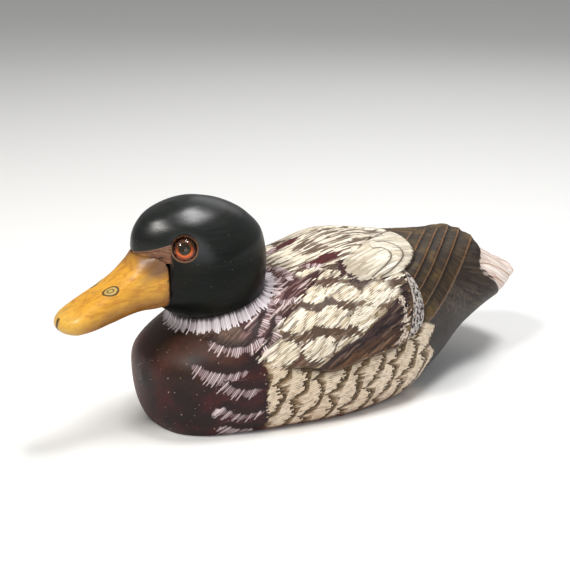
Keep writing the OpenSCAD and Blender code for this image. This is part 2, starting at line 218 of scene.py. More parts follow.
# ---------------------------------------------- carved and painted layout
# all in (y, d): millimetres along the body, and down from the ridge
WING = [(-60, 48), (-53, 57), (-43, 64), (-34, 70), (-28, 75), (-20, 79), (-7, 80.5), (6, 82), (16, 83),
        (25, 80), (32, 75), (35, 67), (36, 58), (35, 50), (34, 44), (40, 40), (50, 32), (55, 24), (58, 13),
        (59, 3), (58, -8), (30, -12), (-10, -12), (-38, -12), (-44, 10), (-50, 30)]
TERT = [(4, 25), (14, 23.5), (25, 19), (36, 13.5), (46, 8), (57, 1), (60, 6), (59, 13), (55, 24), (50, 31),
        (40, 40), (33, 43.5), (26, 46), (17, 46), (6, 43), (0, 36)]
CENTER = [(-30, -20), (-24, 4), (-20, 13), (-12, 19), (-4, 21), (4, 23), (14, 22), (25, 17.5), (36, 12),
          (46, 6.5), (56, 0), (56, -20)]
COVERT = [(-59, 49), (-52, 57), (-43, 64), (-34, 69.5), (-27, 69), (-16, 68), (-6, 67), (5, 62.5), (16, 59),
          (26, 53), (31, 47), (26, 45), (16, 45), (4, 42), (-2, 35), (2, 25), (-4, 21), (-12, 27), (-22, 32),
          (-33, 36), (-42, 39), (-50, 43)]
SPEC = [(-34, 71), (-24, 69), (-8, 68), (5, 63.5), (16, 60), (27, 54), (28, 60), (24, 68), (22, 76), (18, 83.5),
        (6, 82), (-7, 80.5), (-20, 79), (-29, 75)]
RIM = [(32, 45), (35.5, 51), (36, 58), (35.5, 67), (32, 75), (25, 80), (19, 83), (22, 77), (25, 70), (28, 61), (29.5, 52)]
BAR = [(22, 58), (22.5, 64), (21.5, 71), (19.5, 78), (15.5, 83)]
ARC1 = [(32, 20), (38, 20), (42.5, 26), (40, 33), (33, 39), (24, 43.5), (16, 45)]
ARC2 = [(25, 26), (30, 27), (32, 31), (29, 36), (22, 40), (12, 43)]
ARC3 = [(24, 4), (30, 6), (34, 3), (36, -3)]
ARC4 = [(32, 4), (39, 5), (44, 1), (46, -4)]
TAILTIP = [(109, -25), (109, 5), (109.5, 18), (108, 26), (104, 31), (101.5, 37), (106, 42), (113, 47),
           (120, 52), (130, 58), (160, 60), (160, -25)]
NAPE = [(-75, 24), (-72, 33), (-67, 38.5), (-59, 41), (-52, 36), (-45, 30), (-38, 22), (-34, 12), (-33, -14), (-85, -14), (-80, 10)]
MANTLE = [(-62, 42), (-55, 44), (-48, 42), (-40, 37), (-30, 33), (-20, 30), (-8, 26), (3, 24), (9, 22.5),
          (4, 17), (-6, 14), (-14, 10), (-20, -4), (-30, -14), (-45, -14), (-60, 20)]
FRINGES = [
  [(-77, 27), (-74, 33), (-69, 38), (-62, 41.5), (-57, 41.5)],
  [(-55, 38), (-50, 34.5), (-45, 30), (-41.5, 25.5)],
  [(-88, 30), (-84, 38), (-79, 44), (-73, 48.5), (-68, 50.5)],
  [(-77, 49), (-73, 56), (-67, 61.5), (-60.5, 65)],
  [(-78, 63), (-72, 71), (-66.5, 76), (-60, 78.5)],
  [(-75, 77), (-69, 84.5), (-62, 89)],
  [(-57, 47), (-52, 45.5), (-47, 41.5), (-44.5, 37)],
  [(-33, 8), (-29.5, 12), (-30, 18), (-33.5, 24)],
  [(-25, 2), (-21.5, 7), (-21, 12), (-22.5, 18)],
  [(-14, 14), (-9, 16.5), (-6, 20)],
  [(-39, 27), (-36, 31), (-31, 33)]]
BANDS = [49.0, 55.5, 61.5, 67.0, 73.5, 81.5]


def fields(P):
    y, d = body_yd(P)
    Q = np.stack([y, d], 1)
    nk = to_neck(P)
    out = {}
    out["yd"] = np.stack([y, d, P[:, 2]], 1)
    wing = poly_sdf(Q, WING)
    out["f1"] = np.stack([wing, poly_sdf(Q, TERT), poly_sdf(Q, CENTER)], 1)
    bar, _, _ = seg_dist(Q, curve(BAR))
    out["f2"] = np.stack([poly_sdf(Q, SPEC), 2.4 - bar, poly_sdf(Q, RIM)], 1)
    a = []
    for c in (ARC1, ARC2, ARC3, ARC4):
        dd, ss, sd = seg_dist(Q, curve(c))
        end = np.minimum(ss, np.linalg.norm(np.diff(curve(c), axis=0), axis=1).sum() - ss) < 0.01
        a.append(np.where(end, np.maximum(dd, 0.8), dd * sd))
    out["f3"] = np.stack([poly_sdf(Q, COVERT), poly_sdf(Q, TAILTIP), a[3]], 1)
    out["f6"] = np.stack(a[:3], 1)
    best = np.full(len(Q), 1e9)
    s = np.zeros(len(Q))
    sg = np.zeros(len(Q))
    for k, f in enumerate(FRINGES):
        dd, ss, sd = seg_dist(Q, curve(f))
        m = dd < best
        best[m] = dd[m]
        s[m] = (ss + 40 * k)[m]
        sg[m] = (dd * sd)[m]
    out["f4"] = np.stack([sg, s, poly_sdf(Q, MANTLE)], 1)
    r = np.hypot(nk[:, 0], nk[:, 1])
    out["nk"] = np.stack([nk[:, 2], np.arctan2(nk[:, 0], -nk[:, 1]), r], 1)
    out["f5"] = np.stack([poly_sdf(Q, NAPE), P[:, 0], best], 1)
    return out


def relief(F, P):
    """how far the carving stands out of the smooth body, in millimetres"""
    y, d = F["yd"][:, 0], F["yd"][:, 1]
    wing, tert, center = F["f1"].T
    spec, bar, rim = F["f2"].T
    cov, tip, _ = F["f3"].T
    h = np.zeros(len(y))
    fade = sstep(-58, -38, y)
    h += 2.4 * fade * sstep(-0.6, 0.9, wing) * (0.12 + 0.88 * sstep(14, 62, d))
    h -= 0.9 * fade * np.exp(-((wing + 1.2) / 1.3) ** 2) * (d > 20)
    h += 1.3 * sstep(-0.5, 0.9, tert) * sstep(10, 30, y)
    h += 0.5 * sstep(-0.4, 0.7, center) * sstep(-10, 10, y)
    h += 0.7 * sstep(-0.4, 0.8, rim) - 0.6 * sstep(-0.3, 0.8, spec)
    # stepped layers of the rump
    b = 0.64 * y + 0.76 * d
    out = sstep(0.8, -0.8, wing)
    lay = np.zeros(len(y))
    for b0, b1 in zip(BANDS[:-1], BANDS[1:]):
        t = (b - b0) / (b1 - b0)
        lay = np.where((t >= 0) & (t < 1), 1.15 * t, lay)
    h += out * lay * sstep(25, 34, y) * sstep(74, 68, d)
    # the rump ends in a drop to the tail feathers
    h -= 3.6 * sstep(-0.8, 1.6, tip) * sstep(60, 20, d) * sstep(146, 136, y)
    h += 1.0 * np.exp(-((tip + 3) / 4) ** 2) * sstep(46, 20, d)
    # veins of the tail feathers
    v = np.abs(((d / 8.5) + 0.5) % 1 - 0.5) * 8.5
    h -= 0.55 * np.exp(-(v / 0.7) ** 2) * sstep(0, 3, tip)
    # the flank scales are not carved
    return h


# ------------------------------------------------------------------ meshes
def make(name, V, faces, smooth=True):
    me = bpy.data.meshes.new(name)
    me.from_pydata([tuple(v) for v in np.asarray(V) * MM], [], faces)
    me.update()
    o = bpy.data.objects.new(name, me)
    bpy.context.scene.collection.objects.link(o)
    if smooth:
        me.polygons.foreach_set("use_smooth", [True] * len(me.polygons))
    return o


def loops_mesh(name, L):
    L = np.asarray(L)
    m, n = L.shape[:2]
    F = []
    for i in range(m - 1):
        for j in range(n):
            a, b = i * n + j, i * n + (j + 1) % n
            F.append((a, b, b + n, a + n))
    F.append(tuple(range(n - 1, -1, -1)))
    F.append(tuple((m - 1) * n + j for j in range(n)))
    return make(name, L.reshape(-1, 3), F)


def fix_normals(o):
    bm = bmesh.new()
    bm.from_mesh(o.data)
    bmesh.ops.recalc_face_normals(bm, faces=bm.faces)
    bm.to_mesh(o.data)
    bm.free()


def verts(o):
    co = np.zeros(len(o.data.vertices) * 3)
    o.data.vertices.foreach_get("co", co)
    return co.reshape(-1, 3) / MM


def normals(o):
    co = np.zeros(len(o.data.vertices) * 3)
    o.data.vertices.foreach_get("normal", co)
    return co.reshape(-1, 3)


def put(o, V):
    o.data.vertices.foreach_set("co", (np.asarray(V) * MM).ravel())
    o.data.update()


def edges_of(o):
    e = np.zeros(len(o.data.edges) * 2, int)
    o.data.edges.foreach_get("vertices", e)
    return e.reshape(-1, 2)


def smooth(o, n=3, w=0.5, mask=None):
    V = verts(o)
    e = edges_of(o)
    deg = np.bincount(e.ravel(), minlength=len(V))[:, None]
    for _ in range(n):
        S = np.zeros_like(V)
        np.add.at(S, e[:, 0], V[e[:, 1]])
        np.add.at(S, e[:, 1], V[e[:, 0]])
        D = w * (S / deg - V)
        V = V + (D if mask is None else D * mask[:, None])
    put(o, V)


def attr(o, name, A):
    a = o.data.attributes.get(name) or o.data.attributes.new(name, "FLOAT_VECTOR", "POINT")
    a.data.foreach_set("vector", np.asarray(A, np.float32).ravel())


def apply_mods(o):
    dg = bpy.context.evaluated_depsgraph_get()
    me = bpy.data.meshes.new_from_object(o.evaluated_get(dg))
    o.modifiers.clear()
    o.data = me


def boolean(o, other, op="DIFFERENCE"):
    m = o.modifiers.new("b", "BOOLEAN")
    m.operation = op
    m.solver = "MANIFOLD"
    m.object = other
    apply_mods(o)
    bpy.data.objects.remove(other)


def cyl(r, h0, h1, n=64, M=None):
    a = np.linspace(0, 2 * np.pi, n, endpoint=False)
    L = [np.stack([r * np.cos(a), r * np.sin(a), 0 * a + h], 1) for h in (h0, h1)]
    L = np.array(L)
    if M is not None:
        L = M(L)
    o = loops_mesh("tmp", L)
    fix_normals(o)
    return o


def box_obj(lo, hi):
    x0, y0, z0 = lo
    x1, y1, z1 = hi
    V = [(x, y, z) for z in (z0, z1) for x, y in ((x0, y0), (x1, y0), (x1, y1), (x0, y1))]
    F = [(0, 3, 2, 1), (4, 5, 6, 7), (0, 1, 5, 4), (1, 2, 6, 5), (2, 3, 7, 6), (3, 0, 4, 7)]
    return make("tmp", V, F, False)


def remesh(o, size):
    m = o.modifiers.new("r", "REMESH")
    m.mode = "VOXEL"
    m.voxel_size = size * MM
    m.adaptivity = 0
    apply_mods(o)


def join(objs):
    V, F, n = [], [], 0
    for o in objs:
        v = verts(o)
        V.append(v)
        F += [tuple(i + n for i in p.vertices) for p in o.data.polygons]
        n += len(v)
        bpy.data.objects.remove(o)
    return make("joined", np.vstack(V), F)


VOX = 1.0

# ---- body: smooth form, neck stub, remesh, then the carving
ty = np.linspace(0, 1, 180)
ys = 0.6 * (22 - 124 * np.cos(np.pi * ty)) + 0.4 * (-102 + 248 * ty)
th = np.linspace(0, 2 * np.pi, 160, endpoint=False)
L = []
for y in ys:
    p = body_pt(np.full(len(th), y), th)
    p[:, 2] = np.maximum(p[:, 2], 0)
    L.append(p)
base = loops_mesh("base", L)
fix_normals(base)
prof = curve([(44, -26), (40.5, -22), (34.5, -17), (30.6, -12), (28, -7.5), (26.4, -3.5), (25.4, -0.3)], 5)
a = np.linspace(0, 2 * np.pi, 128, endpoint=False)
L = [from_neck(np.stack([r * np.cos(a), r * np.sin(a), 0 * a + h], 1)) for r, h in prof]
L = [from_neck(np.stack([0.3 * np.cos(a), 0.3 * np.sin(a), 0 * a - 26], 1))] + L + [from_neck(np.stack([0.3 * np.cos(a), 0.3 * np.sin(a), 0 * a - 0.3], 1))]
stub = loops_mesh("stub", L)
fix_normals(stub)
body = join([base, stub])
remesh(body, VOX)
fix_normals(body)
V = verts(body)
nk = to_neck(V)
rr = np.hypot(nk[:, 0], nk[:, 1])
# soften the crease between neck and breast, and leave the seat and the underside alone
soft = sstep(48, 38, rr) * sstep(-1.5, -4, nk[:, 2]) * sstep(24, 27, rr)
smooth(body, 24, 0.5, np.maximum(soft, 0.0))
smooth(body, 3, 0.5, sstep(0.4, 2.0, verts(body)[:, 2]) * sstep(-0.2, -1.6, to_neck(verts(body))[:, 2]) )
V = verts(body)
F = fields(V)
N = normals(body)
low = sstep(0.2, 3, V[:, 2])
seatm = sstep(-0.4, -3, to_neck(V)[:, 2]) + sstep(28, 31, np.hypot(*to_neck(V)[:, :2].T))
h = relief(F, V) * low * np.clip(seatm, 0, 1)
# clear of the turning head
V2 = V + N * h[:, None]
put(body, V2)
smooth(body, 1, 0.35, low)
V2 = verts(body)
nk = to_neck(V2)
rr = np.hypot(nk[:, 0], nk[:, 1])
over = (nk[:, 2] > -0.35) & (rr < 34)
nk[over, 2] = -0.35
V2[over] = from_neck(nk[over])
put(body, V2)

# ---- split into shell and board at the seam
def bisect(o, z, keep_up, name):
    bm = bmesh.new()
    bm.from_mesh(o.data)
    g = bm.verts[:] + bm.edges[:] + bm.faces[:]
    r = bmesh.ops.bisect_plane(bm, geom=g, plane_co=(0, 0, z * MM), plane_no=(0, 0, 1),
                               clear_inner=keep_up, clear_outer=not keep_up, dist=1e-7)
    e = [x for x in r["geom_cut"] if isinstance(x, bmesh.types.BMEdge)]
    bmesh.ops.holes_fill(bm, edges=e, sides=0)
    me = bpy.data.meshes.new(name)
    bm.to_mesh(me)
    bm.free()
    n = bpy.data.objects.new(name, me)
    bpy.context.scene.collection.objects.link(n)
    return n


V2 = verts(body)
V2[V2[:, 2] < 0.25, 2] = 0.0
put(body, V2)
shell = bisect(body, SEAM + 0.04, True, "body_shell_carved")
board = bisect(body, SEAM - 0.04, False, "bottom_board_carved")
bpy.data.objects.remove(body)


def slot_shape(cx, y0, y1, r, z0, z1, n=24):
    a = np.linspace(-np.pi, 0, n)
    b = np.linspace(0, np.pi, n)
    ring = np.concatenate([np.stack([cx + r * np.cos(a), y0 + r * np.sin(a)], 1), np.stack([cx + r * np.cos(b), y1 + r * np.sin(b)], 1)])
    L = [np.concatenate([ring, np.full((len(ring), 1), z)], 1) for z in (z0, z1)]
    o = loops_mesh("tmp", L)
    fix_normals(o)
    return o


def at_neck(L):
    return from_neck(np.asarray(L))


# hollow of the shell, spot face, bush bore and pad recess
def stadium(c0, r0, c1, r1, z0, z1, n=48):
    """prism of the hull of two circles on the Y axis"""
    al = math.asin((r1 - r0) / abs(c1 - c0))
    a = np.linspace(np.pi - al * -1, 2 * np.pi + al * -1, n)
    a = np.linspace(-np.pi - al, 0 + al, n)
    A = np.stack([r0 * np.cos(a), c0 + r0 * np.sin(a)], 1)
    b = np.linspace(0 + al, np.pi - al, n)
    B = np.stack([r1 * np.cos(b), c1 + r1 * np.sin(b)], 1)
    ring = np.concatenate([A, B])
    L = [np.concatenate([ring, np.full((len(ring), 1), z)], 1) for z in (z0, z1)]
    o = loops_mesh("tmp", L)
    fix_normals(o)
    return o


boolean(shell, stadium(-43, 21, -2, 35, 5, 38))
boolean(shell, slot_shape(0, -1, 24, 32, 5, 57))
boolean(shell, cyl(11.5, -42, -20, 64, at_neck))
boolean(shell, cyl(5.02, -21, 4, 48, at_neck))
boolean(shell, cyl(20, -1.25, 4, 64, at_neck))
boolean(board, box_obj((-15.2, 6 - 31.2, -1), (15.2, 6 + 31.2, 5.45)))
boolean(board, slot_shape(0, -66.5, -60, 11.5, -1, 7))
SCREWS = [(26, -62), (-26, -62), (41, -6), (-41, -6), (35, 30), (-35, 30)]
for s in SCREWS:
    boolean(board, cyl(3.6, -1, 0.32, 32, lambda L, s=s: L + np.array([s[0], s[1], 0])))

for o in (shell, board):
    f = fields(verts(o))
    for k, v in f.items():
        attr(o, k, v)

# ---- head: the same loops as the frame, finer, then sockets and the bill's notch
hs = 57 * np.sin(np.linspace(0, 1, 150) * np.pi / 2)
th = np.linspace(0, 2 * np.pi, 256, endpoint=False)
L = []
for h in hs:
    c, f, b, w, nf, nb = [spl(HEAD, k, h) for k in range(1, 7)]
    t = sstep(-0.35, 0.35, np.sin(th))
    n = nf * (1 - t) + nb * t
    r = 1 / (np.abs(np.cos(th)) ** n + np.abs(np.sin(th)) ** n) ** (1 / n)
    L.append(from_neck(np.stack([w * r * np.cos(th), c + np.where(np.sin(th) < 0, f, b) * r * np.sin(th), 0 * th + h], 1)))
head = loops_mesh("head_carved", L)
fix_normals(head)
V = verts(head)
nk = to_neck(V)
# full cheeks, a shallow groove in front of the eye, a raised brow over it and a recessed lip above the bill
E = np.array([19.4, -86.5, 97.2])
dm = V.copy()
dm[:, 0] = np.abs(dm[:, 0])
N = normals(head)
cheek = np.exp(-(((dm[:, 1] + 74) / 16) ** 2 + ((dm[:, 2] - 80) / 13) ** 2))
groove = np.exp(-(((dm[:, 1] + 97) / 8) ** 2 + ((dm[:, 2] - 94.5) / 4.5) ** 2))
brow = np.exp(-(((dm[:, 1] + 87) / 10) ** 2 + ((dm[:, 2] - 106) / 5) ** 2))
edge = sstep(0.2, 3.0, nk[:, 2])
zl = 94.2 + 0.40 * (V[:, 1] + 104)
ledge = sstep(0.5, -0.5, V[:, 2] - zl) * sstep(-92.0, -92.9, V[:, 1]) * sstep(80, 86, V[:, 2])
V = V + N * ((0.9 * cheek - 0.4 * groove + 0.5 * brow - 1.0 * ledge) * edge)[:, None]
lip = V[(np.abs(V[:, 2] - 91.0) < 1.0) & (V[:, 1] < -90)]
put(head, V)

YAW, UP = math.radians(28), math.radians(25)


def eye_frame(s):
    """local z outwards"""
    R = Matrix.Rotation(-YAW, 4, "Z") @ Matrix.Rotation(math.radians(90) - UP, 4, "Y")
    M = Matrix.Translation((19.4, -86.5, 97.2)) @ R
    if s < 0:
        M = Matrix.Scale(-1, 4, (1, 0, 0)) @ M
    return np.array(M)


def at_eye(s):
    M = eye_frame(s)
    return lambda L: np.asarray(L) @ M[:3, :3].T + M[:3, 3]


for s in (1, -1):
    c = cyl(6.75, -2.3, 12, 64, at_eye(s))
    boolean(head, c)
boolean(head, box_obj((-40, -140, 30), (40, -92.95, 90.0)))
boolean(head, cyl(5.55, -1, 14, 48, at_neck))

# ---- bill
ss = 52.5 * np.sin(np.linspace(0, 1, 110) * np.pi / 2)
th = np.linspace(0, 2 * np.pi, 120, endpoint=False)
L = []
for s in ss:
    w, zc, zt, zb, n = [spl(BILL, k, s) for k in range(1, 6)]
    c, q = np.cos(th), np.sin(th)
    x = w * np.sign(c) * np.abs(c) ** (2 / n)
    z = zc + np.where(q > 0, zt - zc, zc - zb) * np.sign(q) * np.abs(q) ** (2 / n)
    L.append(np.stack([x, 0 * x - 93.02 - s * 53 / 52.5, z], 1))
bill = loops_mesh("bill_carved", L)
fix_normals(bill)
V = verts(bill)
N = normals(bill)
s = -(V[:, 1] + 93.02)
ax = np.abs(V[:, 0])
f = np.zeros(len(V))
# the line of the mouth, the pinch of the sides, and the nail at the tip
zm = 71.5 - 0.24 * s - 1.3 * np.sin(s / 53 * np.pi)
f -= 0.5 * np.exp(-((V[:, 2] - zm) / 0.55) ** 2) * sstep(1, 6, s) * sstep(52, 46, s) * (ax > 3)
nz = 84 - 0.33 * s
f -= 0.35 * np.exp(-(((ax - 8.5) / 3.5) ** 2 + ((s - 21) / 4.5) ** 2)) * (V[:, 2] > 74)
f += 0.5 * np.exp(-((ax / 3.2) ** 4 + ((s - 49.5) / 3.5) ** 4)) * (V[:, 2] > 64)
f += 1.7 * np.exp(-(s / 6.5) ** 2) * sstep(66, 74, V[:, 2]) * sstep(6, 11, ax)
V = V + N * (f * sstep(-0.05, 0.6, s + 0.3))[:, None]
V[:, 2] = np.minimum(V[:, 2], 89.93)
V[:, 1] = np.minimum(V[:, 1], -93.02)
# the root of the bill climbs the forehead
bins = np.arange(0, 18.5, 0.75)
face = np.array([lip[(np.abs(np.abs(lip[:, 0]) - b) < 0.8), 1].min() if (np.abs(np.abs(lip[:, 0]) - b) < 0.8).any() else -92.0 for b in bins])
gapf = np.interp(np.abs(V[:, 0]), bins, face) - V[:, 1]
up = sstep(-0.35, 0.1, gapf) * np.exp(-(np.maximum(gapf, 0) / 3.6) ** 2) * sstep(84, 88, V[:, 2])
V[:, 2] += 3.4 * up
put(bill, V)
boolean(bill, cyl(3.02, -104.2, -92, 40, lambda L: np.stack([np.asarray(L)[..., 0], np.asarray(L)[..., 2], 78 - np.asarray(L)[..., 1]], -1)))

# ---- eyes: dome, iris dish, pupil, putty bead
def lathe(name, prof, M, n=72, ring=False):
    a = np.linspace(0, 2 * np.pi, n, endpoint=False)
    L = [M(np.stack([r * np.cos(a), r * np.sin(a), 0 * a + z], 1)) for r, z in prof]
    if ring:
        k = len(prof)
        F = [(i * n + j, i * n + (j + 1) % n, (i + 1) % k * n + (j + 1) % n, (i + 1) % k * n + j)
             for i in range(k) for j in range(n)]
        o = make(name, np.array(L).reshape(-1, 3), F)
    else:
        o = loops_mesh(name, L)
    fix_normals(o)
    return o


eyes = []
for s, nm in ((1, "left"), (-1, "right")):
    M = at_eye(s)
    R = (36 + 3.6**2) / 7.2
    dome = [(R * math.sin(t), 3.6 - R + R * math.cos(t))
            for t in np.linspace(math.asin(6 / R), 0.01, 26)]
    g = lathe("eye_glass_dome_" + nm, [(0.05, -1.18), (5.9, -1.18), (6, -1.0), (6, -0.1)] + dome, M)
    i = lathe("eye_iris_dish_" + nm, [(0.05, -1.8), (5.95, -1.8), (5.97, -1.2), (5.0, -1.35), (3.6, -1.5), (3.1, -1.56), (3.05, -1.7), (0.05, -1.7)], M)
    p = lathe("eye_pupil_dot_" + nm, [(0.05, -1.68), (2.95, -1.68), (3.0, -1.5), (2.85, -1.26), (0.05, -1.22)], M)
    r = lathe("eye_putty_bead_" + nm, [(6.02, -2.2), (6.72, -2.2), (6.95, -0.35), (6.85, 0.25), (6.5, 0.5), (6.15, 0.42), (6.02, 0.1)], M, ring=True)
    eyes += [(g, "eye_glass_" + nm, "eye_glass"), (i, "eye_iris_" + nm, "iris_amber"),
             (p, "eye_pupil_" + nm, "pupil_black"), (r, "eye_putty_" + nm, "putty")]

# --------------------------------------------------------------- materials
class X:
    """a socket with arithmetic"""
    nt = None

    def __init__(self, s):
        self.s = s

    def __add__(a, b): return m("ADD", a, b)
    def __radd__(a, b): return m("ADD", b, a)
    def __sub__(a, b): return m("SUBTRACT", a, b)
    def __rsub__(a, b): return m("SUBTRACT", b, a)
    def __mul__(a, b): return m("MULTIPLY", a, b)
    def __rmul__(a, b): return m("MULTIPLY", b, a)
    def __truediv__(a, b): return m("DIVIDE", a, b)
    def __neg__(a): return m("MULTIPLY", a, -1.0)


def wire(v, inp):
    if isinstance(v, X):
        X.nt.links.new(v.s, inp)
    else:
        inp.default_value = v


def m(op, *a, clamp=False):
    n = X.nt.nodes.new("ShaderNodeMath")
    n.operation = op
    n.use_clamp = clamp
    for i, v in enumerate(a):
        wire(v, n.inputs[i])
    return X(n.outputs[0])


def fract(a): return m("FRACT", a)
def floor(a): return m("FLOOR", a)
def mabs(a): return m("ABSOLUTE", a)
def mmin(a, b): return m("MINIMUM", a, b)
def mmax(a, b): return m("MAXIMUM", a, b)
def sat(a): return m("ADD", a, 0.0, clamp=True)
def gt(a, b): return m("GREATER_THAN", a, b)
def power(a, b): return m("POWER", a, b)


def ss(a, b, x):
    n = X.nt.nodes.new("ShaderNodeMapRange")
    n.interpolation_type = "SMOOTHSTEP"
    n.inputs[1].default_value = min(a, b)
    n.inputs[2].default_value = max(a, b)
    n.inputs[3].default_value = 0.0 if a < b else 1.0
    n.inputs[4].default_value = 1.0 if a < b else 0.0
    wire(x, n.inputs[0])
    return X(n.outputs[0])


def vec(x, y, z=0.0):
    n = X.nt.nodes.new("ShaderNodeCombineXYZ")
    for i, v in enumerate((x, y, z)):
        wire(v, n.inputs[i])
    return X(n.outputs[0])


def attrs(name):
    n = X.nt.nodes.new("ShaderNodeAttribute")
    n.attribute_name = name
    s = X.nt.nodes.new("ShaderNodeSeparateXYZ")
    X.nt.links.new(n.outputs["Vector"], s.inputs[0])
    return [X(s.outputs[i]) for i in range(3)]


def obj_mm():
    n = X.nt.nodes.new("ShaderNodeTexCoord")
    s = X.nt.nodes.new("ShaderNodeVectorMath")
    s.operation = "SCALE"
    s.inputs[3].default_value = 1000.0
    X.nt.links.new(n.outputs["Object"], s.inputs[0])
    p = X.nt.nodes.new("ShaderNodeSeparateXYZ")
    X.nt.links.new(s.outputs[0], p.inputs[0])
    return X(s.outputs[0]), [X(p.outputs[i]) for i in range(3)]


def noise(v, scale=1.0, detail=2.0, rough=0.5, dist=0.0):
    n = X.nt.nodes.new("ShaderNodeTexNoise")
    n.inputs["Scale"].default_value = scale
    n.inputs["Detail"].default_value = detail
    n.inputs["Roughness"].default_value = rough
    n.inputs["Distortion"].default_value = dist
    wire(v, n.inputs["Vector"])
    return X(n.outputs[0])


def white(v):
    n = X.nt.nodes.new("ShaderNodeTexWhiteNoise")
    n.noise_dimensions = "3D"
    wire(v, n.inputs["Vector"])
    return X(n.outputs[0])


def voro(v, scale=1.0, feature="F1"):
    n = X.nt.nodes.new("ShaderNodeTexVoronoi")
    n.feature = feature
    n.inputs["Scale"].default_value = scale
    wire(v, n.inputs["Vector"])
    return X(n.outputs["Distance"])


def lin(c):
    c = [v / 255 for v in c]
    return tuple(v / 12.92 if v <= 0.04045 else ((v + 0.055) / 1.055) ** 2.4 for v in c) + (1.0,)


def mix(f, a, b):
    n = X.nt.nodes.new("ShaderNodeMix")
    n.data_type = "RGBA"
    n.clamp_factor = True
    wire(f, n.inputs[0])
    for v, i in ((a, 6), (b, 7)):
        if isinstance(v, X):
            X.nt.links.new(v.s, n.inputs[i])
        else:
            n.inputs[i].default_value = lin(v) if max(v) > 1.0 or len(v) == 3 else v
    return X(n.outputs[2])


def start(name):
    mt = bpy.data.materials.new(name)
    mt.use_nodes = True
    X.nt = mt.node_tree
    b = next(n for n in X.nt.nodes if n.type == "BSDF_PRINCIPLED")
    return mt, b


def bump(h, strength=0.5, dist=0.3):
    n = X.nt.nodes.new("ShaderNodeBump")
    n.inputs["Strength"].default_value = strength
    n.inputs["Distance"].default_value = dist * MM
    wire(h, n.inputs["Height"])
    return X(n.outputs[0])


def out(b, col=None, rough=None, nrm=None, metal=0.0, coat=0.0, coat_rough=0.2, spec=0.5):
    if col is not None:
        if isinstance(col, X):
            X.nt.links.new(col.s, b.inputs["Base Color"])
        else:
            b.inputs["Base Color"].default_value = lin(col)
    if rough is not None:
        wire(rough, b.inputs["Roughness"])
    if nrm is not None:
        X.nt.links.new(nrm.s, b.inputs["Normal"])
    b.inputs["Metallic"].default_value = metal
    b.inputs["Coat Weight"].default_value = coat
    b.inputs["Coat Roughness"].default_value = coat_rough
    wire(spec, b.inputs["Specular IOR Level"])


def scales(p, q, jag, tip=0.62, jit=0.0):
    """overlapping rounded tiles: p along towards the tip, q across.
    gives how far behind the tile's own root (0..1.6), the signed gap past the
    covering tile's tip, and a random number per tile"""
    i = floor(p)
    u = fract(p)
    odd = fract(i * 0.5) * 2.0
    qa = q + odd * 0.5
    qb = q + (1.0 - odd) * 0.5
    va = fract(qa) - 0.5
    vb = fract(qb) - 0.5
    tb = m("SQRT", mmax(1.0 - mabs(vb * 2.0) * mabs(vb * 2.0), 0.0)) * tip + jag
    gap = u - tb                 # > 0: past the covering tile's tip
    cover = gt(0.0, gap)
    rid = white(vec(floor(qa) * (1.0 - cover) + floor(qb) * cover, i - cover, 3.0))
    along = u + cover
    across = va * (1.0 - cover) + vb * cover
    return along, across, gap, rid, cover


def strokes(a, c, w, length, seed, taper=0.3):
    """hair strokes laid side by side: along a, across c, w apart.
    gives the stroke's body (1 in the middle, 0 between two) and a random number"""
    k = floor(c * (1.0 / w))
    off = white(vec(k, seed, 0.5))
    t = a * (1.0 / length) + off * 9.0
    j = floor(t)
    f = fract(t)
    r = white(vec(k, j, seed + 7.0))
    e = mabs(fract(c * (1.0 / w)) - 0.5)
    wid = 0.46 - power(mabs(f * 2.0 - 1.0), 3.0) * taper
    return ss(0.13, -0.10, e - wid), r


